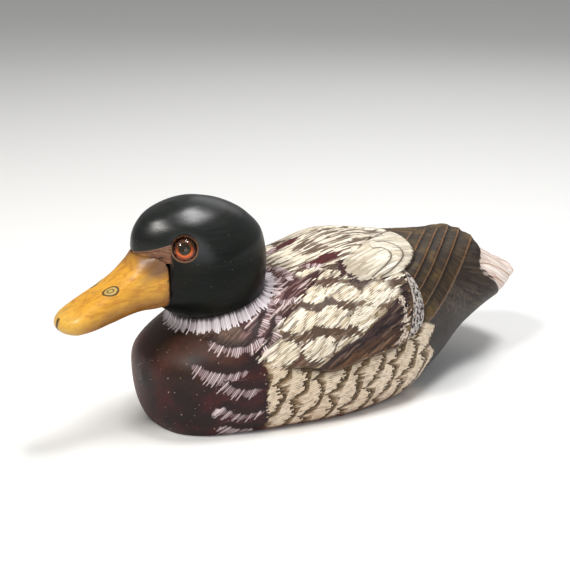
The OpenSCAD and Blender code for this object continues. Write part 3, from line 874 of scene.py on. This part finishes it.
def paint_body():
    mt, b = start("carved_body_paint")
    y, d, z = attrs("yd")
    wing, tert, center = attrs("f1")
    spec, bar, rim = attrs("f2")
    cov, tip, arc4 = attrs("f3")
    arc1, arc2, arc3 = attrs("f6")
    frs, fra, mantle = attrs("f4")
    nh, nphi, nr = attrs("nk")
    nape, px, frd = attrs("f5")
    pos, (ox, oy, oz) = obj_mm()
    side = gt(px, 0.0) * 2.0 - 1.0
    big = noise(pos, 0.06, 3, 0.5)
    mid = noise(pos, 0.35, 3, 0.55)
    fine = noise(pos, 1.6, 3, 0.6)
    w1 = (noise(vec(y * 0.07, d * 0.07, side), 1.0, 2) - 0.5)
    w2 = (noise(vec(y * 0.35, d * 0.35, side + 5.0), 1.0, 2) - 0.5)
    # hair of wing and mantle: rearward and up the side
    sa = y * 0.985 - d * 0.17
    sb = y * 0.17 + d * 0.985 + w1 * 4.0 + w2 * 0.3
    h1, r1 = strokes(sa, sb, 0.92, 8.0, 3.0)
    h2, r2 = strokes(sa + 3.0, sb + 0.5 + sa * 0.09, 1.5, 11.0, 9.0, 0.42)
    # hair of the flank: along the body, a little up
    fa = y * 0.975 + d * 0.22
    fb = d * 0.975 - y * 0.22 + w1 * 2.6 + w2 * 0.25
    g1, q1 = strokes(fa, fb, 0.95, 6.5, 21.0)
    g2, q2 = strokes(fa + 2.0, fb + 0.4 + fa * 0.07, 1.4, 9.0, 27.0, 0.42)
    hair = h1 * 0.6 + h2 * 0.4
    rag = (r1 - 0.5)
    frag = (q1 - 0.5)

    # ---- breast: dark maroon, an olive bloom on top, a painted rim highlight on its far front edge, pale specks
    maroon = mix(mid, (40, 12, 12), (72, 26, 25))
    maroon = mix(ss(0.42, 0.66, big), maroon, (28, 12, 13))
    maroon = mix(ss(0.35, 0.75, q2) * g2 * 0.35, maroon, (18, 6, 8))
    bloom = ss(66.0, 40.0, d) * ss(-60.0, -76.0, y) * ss(20.0, 50.0, z)
    maroon = mix(bloom * (0.18 + mid * 0.38), maroon, (80, 60, 44))
    dots = ss(0.13, 0.07, voro(pos, 0.26)) + ss(0.12, 0.07, voro(vec(ox * 1.0 + 31.0, oy, oz), 0.40))
    maroon = mix(dots * ss(0.42, 0.62, noise(pos, 0.16, 1)), maroon, (178, 146, 132))
    # painted rim highlight: brown along the breast's far front edge only
    breast_rim_highlight = ss(-4.0, -22.0, ox + (mid - 0.5) * 6.0) * ss(-86.0, -96.0, y) * ss(50.0, 30.0, z)
    maroon = mix(breast_rim_highlight * 0.7, maroon, (118, 66, 26))
    col = maroon

    # ---- nape and mantle in front of the wings
    nap = mix(mid, (60, 40, 32), (108, 84, 70))
    nap = mix(ss(0.5, 0.6, r1) * h1 * 0.45, nap, (132, 108, 92))
    nap = mix((1.0 - h1) * 0.55, nap, (40, 24, 22))
    col = mix(ss(-2.0, 2.5, nape + rag * 5.0) * 0.85, col, nap)
    man = mix(mid, (40, 16, 18), (86, 50, 50))
    man = mix(ss(0.5, 0.8, big), man, (92, 70, 60))
    man = mix(ss(0.62, 0.72, r1) * h1 * 0.6, man, (150, 118, 112))
    man = mix(ss(0.86, 0.92, r2) * h2 * 0.85, man, (214, 190, 186))
    man = mix((1.0 - h1) * 0.5, man, (26, 10, 12))
    col = mix(ss(-0.8, 0.8, mantle + rag * 5.0), col, man)

    # ---- flank: cream tiles, each with painted shade where it comes out from under the last
    fp = (y + 60.0 + (d - 80.0) * 0.30) / 11.9 + w1 * 0.5
    fq = (z + 3.0) / 20.5 + (noise(vec(y * 0.07, d * 0.07, side + 4.0), 1.0, 1) - 0.5) * 0.25
    al, ac, gap, rid, cover = scales(fp, fq, frag * 0.26 + w2 * 0.10, 0.70)
    root = ss(0.06, 0.74, gap) * (1.0 - cover) + cover
    # painted shade colour at each tile's root, fading to cream towards its tip
    tile_root_shade = mix(mid, (66, 48, 26), (112, 88, 52))
    crm = mix(rid, (196, 168, 134), (230, 210, 182))
    crm = mix(ss(34.0, 6.0, z + w1 * 20.0) * 0.45, crm, (190, 146, 126))
    fl = mix(root, tile_root_shade, crm)
    wh = sat(root * 1.6 - 0.45 - q1 * 0.5)
    fl = mix(wh * g1 * 0.75, fl, mix(q2, (224, 206, 182), (248, 236, 216)))
    fl = mix((1.0 - g1) * (0.62 - root * 0.18), fl, (98, 74, 50))
    fl = mix(ss(0.80, 0.86, q2) * g2 * (1.0 - root * 0.5) * 0.6, fl, (78, 58, 38))
    # painted shadow just past the covering tile's tip
    fl = mix(ss(0.20, 0.04, gap) * (1.0 - cover) * 0.85, fl, (54, 38, 22))
    fl = mix(ss(3.6, 1.2, z + (fine - 0.5) * 2.5) * 0.85, fl, (96, 52, 34))
    onfl = ss(-0.5, 0.5, y + 58.0 - (d - 52.0) * 0.08 + frag * 2.4) * ss(-1.0, 1.0, d - 50.0)
    # painted shade on the flank just below the wing's raised edge
    fl = mix(ss(-3.2, -0.4, wing) * ss(-52.0, -40.0, y) * 0.45, fl, (112, 88, 50))
    col = mix(onfl, col, fl)

    # ---- rump and tail side
    bb = y * 0.64 + d * 0.76
    bc_ = y * 0.76 - d * 0.64
    c1, cr = strokes(bb, bc_ + w2 * 0.4, 1.1, 9.0, 41.0)
    rump = mix(mid, (34, 25, 19), (62, 48, 32))
    # painted highlight: olive-tan patches over the dark rump
    rump = mix(ss(0.50, 0.7, big), rump, (98, 76, 40))
    rump = mix(ss(0.6, 0.7, cr) * c1 * 0.35, rump, (108, 86, 56))
    rump = mix((1.0 - c1) * 0.40, rump, (22, 15, 12))
    for k, b0 in enumerate(BANDS):
        e = bb - (b0 - 0.2) + (fine - 0.5) * 0.7
        wide = 0.75 if k < 5 else 1.2
        l = ss(-wide, -0.2, e) * ss(0.45, 0.1, e)
        # painted shade at the foot of each carved step, just behind the band's pale edge line
        band_root_shade = ss(0.1, 0.5, e) * ss(3.6, 0.6, e)
        rump = mix(band_root_shade * 0.75, rump, (20, 13, 10))
        rump = mix(l * (0.35 + mid * 0.5), rump, (150, 110, 78))
    t1, tr_ = strokes(y * 0.98 + d * 0.2, d * 0.98 - y * 0.2 + w1 * 4.0 + w2 * 0.4, 1.3, 17.0, 51.0, 0.2)
    tside = mix(tr_, (38, 30, 25), (72, 60, 50))
    # painted sheen: a lighter satin highlight along the middle of the tail side
    tside = mix(ss(0.45, 0.7, mid) * ss(44.0, 54.0, d) * ss(72.0, 62.0, d) * 0.75, tside, (100, 86, 72))
    tside = mix((1.0 - t1) * 0.5, tside, (20, 15, 12))
    tside = mix(ss(62.0, 76.0, d + (y - 60.0) * 0.10) * 0.85, tside, (26, 15, 10))
    rump = mix(ss(81.2, 82.0, bb), rump, tside)
    lob = y - 46.0 - m("SINE", z * 0.33 + 0.6) * 3.4
    onrump = ss(-0.3, 0.3, lob + frag * 2.0)
    isrump = mmax(onrump, ss(74.5, 72.5, d + (fine - 0.5)) * ss(20.0, 24.0, y))
    col = mix(isrump, col, rump)
    col = mix(isrump * ss(4.0, 0.0, lob) * ss(70.0, 74.0, d) * 0.6, col, (24, 14, 10))

    # ---- tail tip
    tcol = mix(tr_, (214, 190, 178), (248, 238, 230))
    vein = mabs(fract(d / 8.5 + 0.5) - 0.5) * 8.5
    tcol = mix(ss(0.70, 0.25, vein) * 0.75, tcol, (172, 126, 92))
    tcol = mix((1.0 - t1) * 0.35, tcol, (168, 134, 118))
    tcol = mix(ss(4.0, 0.0, tip) * ss(0.5, 0.62, tr_) * 0.7, tcol, (96, 74, 62))
    tcol = mix(ss(58.0, 66.0, d), tcol, (34, 20, 15))
    col = mix(ss(-0.4, 0.6, tip + (tr_ - 0.5) * 5.0), col, tcol)

    # ---- wing: clumps of cream hair on grey-brown
    e1 = (16.0, 8.0)
    e2 = (12.0, -9.0)
    det = e1[0] * e2[1] - e1[1] * e2[0]
    yy = y + 47.0 + (noise(vec(y * 0.05, d * 0.05, side), 1.0, 1) - 0.5) * 8.0
    dd = d - 53.5 + (noise(vec(y * 0.05, d * 0.05, side + 3.0), 1.0, 1) - 0.5) * 6.0
    ci = (yy * e2[1] - dd * e2[0]) * (1.0 / det)
    cj = (dd * e1[0] - yy * e1[1]) * (1.0 / det)
    il = fract(ci + 0.5) - 0.5
    jl = fract(cj + 0.5) - 0.5
    rb = white(vec(floor(ci + 0.5), floor(cj + 0.5), 1.0))
    by = il * e1[0] + jl * e2[0]
    bd = il * e1[1] + jl * e2[1]
    ba = (by * 0.985 - bd * 0.17) * (1.0 / 8.8)
    bc = (by * -0.28 + bd * 0.96) * (1.0 / 5.7)
    rad = m("SQRT", ba * ba + bc * bc) + (rb - 0.5) * 0.25
    # full in the middle, single hairs at the edge, longer to the rear
    blob = ss(-0.04, 0.14, 1.0 - rad + rag * 0.42)
    ground = mix(mid, (62, 46, 37), (104, 84, 68))
    ground = mix(ss(0.45, 0.75, big), ground, (92, 60, 48))
    ground = mix(ss(0.62, 0.72, r1) * h1 * 0.40, ground, (156, 132, 108))
    ground = mix((1.0 - h1) * 0.65, ground, (44, 30, 25))
    white_hair = mix(r2, (222, 206, 180), (252, 246, 232))
    cream = mix(h1, (112, 92, 72), mix(r1, (198, 180, 152), (246, 238, 218)))
    cream = mix(ss(0.55, 0.65, r2) * h2 * 0.7, cream, white_hair)
    cream = mix(ss(0.88, 0.92, r1) * h1 * 0.75, cream, (88, 70, 56))
    covc = mix(blob, ground, cream)
    bright = ss(15.0, 6.0, mabs(y - 7.0)) * ss(10.0, 3.0, mabs(d - 54.0 + (y - 6.0) * 0.3))
    covc = mix(bright * ss(0.95, 0.75, r1 + rad * 0.15), covc, cream)
    onwing = ss(-0.4, 0.6, wing)
    col = mix(onwing * ss(24.0, 22.0, d) * ss(-22.0, -18.0, y), col, covc)
    col = mix(ss(-0.6, 0.6, cov + rag * 5.0), col, covc)

    # ---- centre of the back: long pale strokes over grey
    ka = y * 0.995 + d * 0.08
    kb = d * 0.995 - y * 0.08 + w1 * 3.0 + w2 * 0.25
    k1, kr = strokes(ka, kb, 1.2, 9.0, 61.0)
    patch = noise(vec(ka * 0.055, kb * 0.13, 2.0), 1.0, 2)
    light = ss(-0.05, 0.12, patch - 0.44 + (kr - 0.5) * 0.30)
    cc = mix(light, mix(mid, (76, 60, 50), (124, 102, 84)), mix(kr, (204, 188, 160), (248, 240, 222)))
    cc = mix((1.0 - k1) * 0.6, cc, (84, 64, 50))
    col = mix(ss(-0.6, 0.6, center + (kr - 0.5) * 3.0), col, cc)

    # ---- speculum, bar and rim
    sc = mix(r1, (24, 16, 18), (76, 56, 54))
    sc = mix(ss(70.0, 78.0, d + rag * 5.0) * 0.8, sc, mix(r2, (58, 34, 20), (124, 84, 48)))
    sc = mix(ss(0.72, 0.8, r2) * h2 * 0.45, sc, (140, 116, 100))
    sc = mix((1.0 - h1) * 0.75, sc, (16, 10, 10))
    col = mix(ss(-0.4, 0.6, spec + rag * 2.4), col, sc)
    br = noise(vec(y * 1.1, d * 0.5, side), 1.0, 3, 0.7)
    col = mix(ss(-0.2, 0.5, bar - 0.7 + (br - 0.5) * 3.0 + (r1 - 0.5) * 3.6), col, mix(ss(0.3, 0.7, br), (120, 98, 84), (232, 218, 202)))
    rv = noise(vec(y * 0.8, d * 0.4, side), 1.0, 3, 0.75)
    rc_ = mix(ss(0.46, 0.54, rv), (32, 26, 28), (196, 188, 182))
    rc_ = mix(ss(1.5, 0.9, rim) * ss(0.3, 0.6, rv) * 0.8, rc_, (186, 168, 154))
    rc_ = mix(ss(0.7, 0.3, rim), rc_, (40, 30, 28))
    col = mix(ss(-0.2, 0.3, rim), col, rc_)

    # ---- tertial lobe: fine cream strokes, burned arcs
    la = y * 0.98 - d * 0.14
    lb = d * 0.98 + y * 0.14 + w1 * 3.0 + w2 * 0.25
    l1, lr = strokes(la, lb, 0.95, 11.0, 71.0, 0.25)
    tc = mix(lr, (206, 192, 168), (250, 244, 228))
    tc = mix((1.0 - l1) * 0.55, tc, (112, 92, 68))
    tc = mix(ss(0.86, 0.92, lr) * l1 * 0.6, tc, (96, 76, 56))
    tc = mix(ss(24.0, 6.0, y + (lr - 0.5) * 14.0 - (d - 34.0) * 0.3) * 0.55, tc, (118, 104, 78))
    for q in (arc1, arc2, arc3, arc4):
        a_ = mabs(q + (fine - 0.5) * 0.4)
        tc = mix(ss(1.8, 0.3, a_) * 0.35, tc, (104, 82, 60))
        tc = mix(ss(0.50, 0.22, a_) * 0.9, tc, (52, 38, 30))
    col = mix(ss(-0.2, 0.5, tert + (lr - 0.5) * 3.0 * ss(20.0, 40.0, y) + (lr - 0.5) * 4.0 * ss(20.0, 6.0, y) - ss(14.0, 0.0, y) * 2.0), col, tc)
    # painted shadow just outside the lobe and along the wing's lower edge
    tert_lobe_shadow = ss(-2.4, -0.6, tert) * ss(0.0, -0.5, tert) * ss(22.0, 34.0, y)
    col = mix(tert_lobe_shadow * 0.75, col, (44, 30, 24))
    wing_edge_shadow = ss(-2.2, -0.6, wing) * ss(0.3, -0.2, wing) * ss(-52.0, -40.0, y) * ss(26.0, 34.0, d)
    col = mix(wing_edge_shadow * 0.85, col, (46, 30, 20))

    # ---- maroon patch where the lobes meet
    pt = m("SQRT", power(mabs(y + 1.0) * 0.085, 2.0) + power(mabs(d - 17.5 - (y * 0.12)) * 0.30, 2.0))
    col = mix(ss(1.15, 0.85, pt + (kr - 0.5) * 0.6), col, mix(mid, (38, 12, 14), (96, 34, 34)))

    # ---- dark patch above each fringe of the breast, then its pale hairs
    valid = ss(1.3, 0.6, mabs(mabs(frs) - frd))
    dkf = valid * ss(-6.5, -2.5, frs) * ss(0.8, -0.6, frs) * ss(7.0, 5.0, frd) * ss(-38.0, -44.0, y)
    col = mix(dkf * 0.7, col, (22, 10, 12))
    lean = fra + frs * 0.12 + w2 * 0.5
    kf = floor(lean * (1.0 / 1.05))
    rf = white(vec(kf, 4.0, side))
    comb = ss(0.44, 0.24, mabs(fract(lean * (1.0 / 1.05)) - 0.5))
    hlen = 1.0 + rf * 3.6
    fr = valid * comb * ss(-0.9, 0.1, frs + rf * 0.8) * ss(0.25, -0.5, frs - hlen) * ss(5.0, 4.6, frd)
    fr = fr * (1.0 - ss(0.2, 1.0, frs * 0.2) * 0.45) * (0.45 + rf * 0.55)
    col = mix(fr * 0.92, col, mix(rf, (150, 120, 124), (232, 214, 214)))

    # ---- white ring on the neck stub
    nd = m("SQRT", power(mabs(nr - 25.5), 2.0) + power(mabs(nh), 2.0))
    kn = floor(nphi * 36.0 + nd * 0.10 + w2 * 0.6)
    rn = white(vec(kn, 2.0, 8.0))
    cn = ss(0.50, 0.28, mabs(fract(nphi * 36.0 + nd * 0.10 + w2 * 0.6) - 0.5))
    reach = 6.9 - ss(1.6, 2.8, mabs(nphi)) * 2.2 + (noise(vec(nphi * 2.4, 3.0, 1.0), 1.0, 1) - 0.5) * 5.0
    inr = ss(0.3, -0.3, nd - reach - (rn - 0.5) * 3.0) * ss(-0.2, -0.6, nh - 0.6)
    ring = mix(mid, (128, 114, 120), (176, 162, 168))
    ring = mix(cn * ss(-1.0, 4.6, nd + (rn - 0.5) * 5.0) * 0.9, ring, mix(rn, (186, 172, 178), (242, 234, 236)))
    # painted shade along the seat's edge, under the overhanging head
    ring = mix(ss(2.6, 0.8, nd + (rn - 0.5) * 1.5) * 0.8, ring, (36, 28, 28))
    col = mix(inr, col, ring)

    # ---- underside
    und = mix(noise(vec(ox * 0.6, oy * 0.04, 0.0), 1.0, 3, 0.6), (58, 36, 24), (96, 62, 40))
    col = mix(ss(0.35, 0.1, z), col, und)
    seam = ss(0.30, 0.08, mabs(z - 10.0))
    col = mix(seam * 0.35, col, (60, 40, 30))

    onblob = ss(-0.4, 0.6, cov)
    height = h1 * 0.6 * onblob + g1 * 0.6 * onfl + c1 * 0.25 * isrump + fine * 0.25 + mid * 0.2
    nrm = bump(height + root * 0.9 * onfl * (1.0 - isrump) + blob * 0.35 * onblob, 0.6, 0.6)
    out(b, col, 0.42 + mid * 0.16, nrm, coat=0.06, coat_rough=0.30, spec=0.22)
    return mt


def paint_head():
    mt, b = start("head_paint")
    pos, (x, y, z) = obj_mm()
    n1 = noise(pos, 0.09, 3, 0.55)
    st = noise(vec(y * 0.10, z * 0.9 + x * 0.25, x * 0.05), 1.0, 3, 0.6)
    fine = noise(pos, 1.4, 3, 0.6)
    col = mix(n1, (4, 6, 5), (11, 18, 10))
    col = mix(ss(0.45, 0.75, st) * 0.45, col, (24, 25, 34))
    col = mix(ss(0.52, 0.75, noise(pos, 0.05, 2)) * 0.5, col, (30, 20, 10))
    col = mix(ss(0.10, 0.05, voro(pos, 0.35)) * ss(0.5, 0.6, noise(pos, 0.2, 1)) * 0.6, col, (120, 110, 90))
    # the root of the bill reaches up to a worn line across the forehead
    zl = z - 94.2 - (y + 104.0) * 0.40 + (fine - 0.5) * 0.5
    front = ss(-92.0, -92.5, y + (fine - 0.5) * 0.8)
    brown = mix(noise(pos, 0.5, 3), (74, 46, 32), (136, 92, 66))
    brown = mix(ss(0.5, 0.66, st) * 0.6, brown, (170, 124, 92))
    brown = mix(ss(-98.0, -104.0, y + (n1 - 0.5) * 4.0) * ss(-0.5, -3.0, zl) * 0.8, brown, (204, 146, 58))
    col = mix(ss(0.2, -0.2, zl) * front * gt(z, 88.5), col, brown)
    col = mix(ss(0.55, 0.2, zl) * ss(-0.5, -0.1, zl) * front * 0.75, col, (168, 122, 94))
    cu = (y + 95.6) * 0.62
    cv = (z - 91.2) * 0.62
    cr = m("SQRT", cu * cu + cv * cv)
    col = mix(ss(0.62, 0.8, cr) * ss(1.2, 1.0, cr) * gt(0.45, cu) * front * 0.9, col, (20, 12, 8))
    col = mix(ss(90.1, 89.9, z) * front, col, (12, 10, 8))
    nrm = bump(st * 0.6 + fine * 0.25, 0.35, 0.25)
    out(b, col, 0.27 + st * 0.12, nrm, spec=0.14 + ss(84.0, 101.0, z) * 0.38)
    return mt


def paint_bill():
    mt, b = start("bill_paint")
    pos, (x, y, z) = obj_mm()
    s = -y - 93.0
    ax = mabs(x)
    n1 = noise(pos, 0.10, 3, 0.55)
    gr = noise(vec(x * 0.5, y * 0.07, z * 0.5), 1.0, 3, 0.6)
    fine = noise(pos, 1.8, 3, 0.6)
    col = mix(n1, (190, 128, 30), (234, 178, 62))
    col = mix(ss(0.42, 0.66, gr) * 0.6, col, (164, 100, 32))
    col = mix(ss(0.52, 0.70, n1) * 0.35, col, (140, 92, 40))
    zc = 77.0 - s * 0.245
    hgt = z - zc
    # painted shade: the bill darker towards its underside
    under = ss(3.5, -6.0, hgt + (n1 - 0.5) * 8.0 + (gr - 0.5) * 5.0)
    col = mix(under * 0.85, col, (112, 64, 20))
    # brown rubbed into the upper base
    base = ss(17.0, 6.0, s + (n1 - 0.5) * 8.0) * ss(5.5, 11.0, hgt + (n1 - 0.5) * 5.0)
    col = mix(base * 0.9, col, (92, 60, 42))
    col = mix(base * ss(0.5, 0.7, gr) * 0.5, col, (150, 108, 78))
    jag = (fine - 0.5) * 4.2 + (gr - 0.5) * 3.0
    col = mix(ss(1.6, 1.0, s + jag) * 0.85, col, (40, 24, 14))
    col = mix(ss(4.5, 1.0, s + jag) * 0.3, col, (110, 62, 20))
    col = mix(ss(40.0, 52.0, s) * 0.35, col, (232, 196, 96))
    # painted nostril ring
    u = (s - 27.8) * (1.0 / 3.7)
    v = (ax - 7.3 + (s - 27.8) * 0.30) * (1.0 / 2.5)
    top = gt(hgt, 1.0)
    rr = m("SQRT", u * u + v * v) + (fine - 0.5) * 0.22
    col = mix(ss(0.98, 0.8, rr) * 0.75 * top, col, (176, 158, 92))
    col = mix(ss(0.72, 0.84, rr) * ss(1.10, 0.98, rr) * top * 0.9, col, (40, 26, 12))
    col = mix(ss(0.26, 0.34, rr) * ss(0.52, 0.42, rr) * top * 0.85, col, (52, 34, 16))
    # nail notch at the tip
    nail = ss(1.6, 0.6, ax) * ss(51.2, 52.0, s)
    col = mix(nail * 0.9, col, (26, 18, 12))
    spk = ss(0.12, 0.06, voro(pos, 0.40)) * ss(0.2, 0.7, under)
    col = mix(spk * 0.7, col, (214, 176, 120))
    nrm = bump(gr * 0.5 + fine * 0.3, 0.3, 0.25)
    out(b, col, 0.34 + gr * 0.15, nrm, coat=0.14, coat_rough=0.25, spec=0.35)
    return mt


def plain(name, ca, cb, rough, metal=0.0, scale=0.5, coat=0.0, bs=0.3, bd=0.15, stretch=(1, 1, 1)):
    mt, b = start(name)
    pos, (x, y, z) = obj_mm()
    v = vec(x * stretch[0], y * stretch[1], z * stretch[2])
    n = noise(v, scale, 4, 0.6)
    f = noise(v, scale * 6, 2, 0.6)
    out(b, mix(n, ca, cb), rough + f * 0.12, bump(n * 0.7 + f * 0.3, bs, bd), metal, coat)
    return mt


def glass():
    mt, b = start("eye_glass")
    nt = X.nt
    nt.nodes.remove(b)
    o = next(n for n in nt.nodes if n.type == "OUTPUT_MATERIAL")
    tr = nt.nodes.new("ShaderNodeBsdfTransparent")
    tr.inputs[0].default_value = (1.0, 0.90, 0.74, 1)
    gl = nt.nodes.new("ShaderNodeBsdfGlossy")
    gl.inputs["Roughness"].default_value = 0.04
    fr = nt.nodes.new("ShaderNodeFresnel")
    fr.inputs[0].default_value = 1.5
    pos, _ = obj_mm()
    nt.links.new(bump(noise(pos, 0.5, 1), 0.1, 0.05).s, gl.inputs["Normal"])
    mx = nt.nodes.new("ShaderNodeMixShader")
    nt.links.new(fr.outputs[0], mx.inputs[0])
    nt.links.new(tr.outputs[0], mx.inputs[1])
    nt.links.new(gl.outputs[0], mx.inputs[2])
    nt.links.new(mx.outputs[0], o.inputs[0])
    return mt


def iris():
    mt, b = start("iris_amber")
    n = X.nt.nodes.new("ShaderNodeTexCoord")
    pos, (x, y, z) = obj_mm()
    ax = mabs(x) - 19.4
    ey, ez = y + 86.5, z - 97.2
    r = m("SQRT", ax * ax + ey * ey + ez * ez)
    nn = noise(pos, 1.5, 2)
    col = mix(ss(3.0, 6.2, r + (nn - 0.5)), (232, 124, 34), (140, 52, 10))
    # painted shade: the iris darker towards its top
    col = mix(ss(-3.6, 1.2, ez + (nn - 0.5)) * 0.88, col, (52, 16, 5))
    out(b, col, 0.3, bump(nn, 0.2, 0.1))
    return mt


MATS = {
    "brass": plain("brass", (150, 112, 52), (198, 160, 92), 0.32, 1.0, 0.6),
    "weight_metal": plain("cast_lead", (84, 86, 90), (128, 130, 134), 0.55, 0.8, 0.25, bs=0.5, bd=0.4),
    "steel": plain("zinc_steel", (150, 152, 156), (196, 198, 202), 0.3, 1.0, 0.8),
    "pad_leather": plain("oiled_leather", (30, 20, 15), (58, 38, 26), 0.6, 0.0, 1.2, bs=0.5, bd=0.3),
    "dowel_wood": plain("birch_dowel", (170, 126, 76), (214, 176, 124), 0.6, 0.0, 1.0, stretch=(1, 0.08, 1)),
    "putty": plain("eye_putty", (58, 36, 24), (138, 96, 66), 0.55, 0.0, 1.6, bs=0.5, bd=0.25),
    "pupil_black": plain("pupil_black", (4, 3, 3), (9, 8, 8), 0.2, 0.0, 1.0, bs=0.1),
}
body_m, head_m, bill_m = paint_body(), paint_head(), paint_bill()
MATS["eye_glass"] = glass()
MATS["iris_amber"] = iris()


def setmat(o, mt):
    o.data.materials.clear()
    o.data.materials.append(mt)


for o, mt, bodyname, node, slot in (
        (shell, body_m, "body", "body_shell", "body_paint"), (board, body_m, "body", "bottom_board", "board_wood"),
        (head, head_m, "head", "head", "head_paint"), (bill, bill_m, "head", "bill", "bill_paint")):
    setmat(o, mt)
    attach(o, bodyname)
    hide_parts(node)
head.name = "head_carved"
for o, node, slot in eyes:
    setmat(o, MATS[slot])
    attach(o, "head")
    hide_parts(node)

for o in (shell, board, head, bill):
    me = o.data
    me.polygons.foreach_set("use_smooth", [True] * len(me.polygons))
    me.set_sharp_from_angle(angle=math.radians(42 if o in (head, bill) else 55))
for o, *_ in eyes:
    o.data.set_sharp_from_angle(angle=math.radians(50))

slots = {s["node"]: s["material_slot"] for s in frame["record"]["subparts"]}
for nme, o in NODES.items():
    s = slots.get(nme)
    if s in MATS:
        for i in range(max(1, len(o.material_slots))):
            if len(o.material_slots) == 0:
                o.data.materials.append(MATS[s])
            else:
                o.material_slots[i].material = MATS[s]

# ------------------------------------------------------ stage, light, camera
bpy.ops.mesh.primitive_plane_add(size=24, location=(0, 0, 0))
floor_o = bpy.context.object
floor_o.name = "floor"
mt, b = start("floor_pale")
out(b, (244, 244, 243), 0.85)
setmat(floor_o, mt)

w = bpy.data.worlds.new("w")
bpy.context.scene.world = w
w.use_nodes = True
w.node_tree.nodes["Background"].inputs[0].default_value = (1, 1, 1, 1)
w.node_tree.nodes["Background"].inputs[1].default_value = 0.30


def area(name, loc, size, energy, target=(0, -0.02, 0.05), color=(1, 1, 1)):
    l = bpy.data.lights.new(name, "AREA")
    l.shape = "RECTANGLE"
    l.size, l.size_y = size
    l.energy = energy
    l.color = color
    o = bpy.data.objects.new(name, l)
    bpy.context.scene.collection.objects.link(o)
    o.location = loc
    d = Vector(target) - Vector(loc)
    o.rotation_euler = d.to_track_quat("-Z", "Y").to_euler()
    return o


area("key", (0.15, -0.85, 1.1), (0.35, 0.3), 11.0, color=(1, 0.97, 0.92))
area("top", (0.16, 0.22, 1.15), (0.40, 0.30), 8.0)
area("fill", (1.0, -0.35, 0.35), (0.7, 0.5), 2.2, color=(0.92, 0.96, 1))
area("back", (-0.7, 0.9, 0.9), (0.8, 0.6), 1.8)

AZ, EL, D, K = math.radians(53.7), math.radians(18.9), 0.650, 1.85
T = Vector((0, -0.008, 0.045))
dirv = Vector((math.sin(AZ) * math.cos(EL), -math.cos(AZ) * math.cos(EL), math.sin(EL)))
cam = bpy.data.cameras.new("camera")
cam_o = bpy.data.objects.new("camera", cam)
bpy.context.scene.collection.objects.link(cam_o)
cam_o.location = T + dirv * D
cam_o.rotation_euler = (-dirv).to_track_quat("-Z", "Y").to_euler()
cam.sensor_width = 36
cam.lens = K * 1000 * D / 570 * 36
cam.shift_x = -8.1 / 570
cam.shift_y = 25.0 / 570
cam.clip_start = 0.01
bpy.context.scene.camera = cam_o
bpy.context.scene.view_settings.view_transform = "Standard"
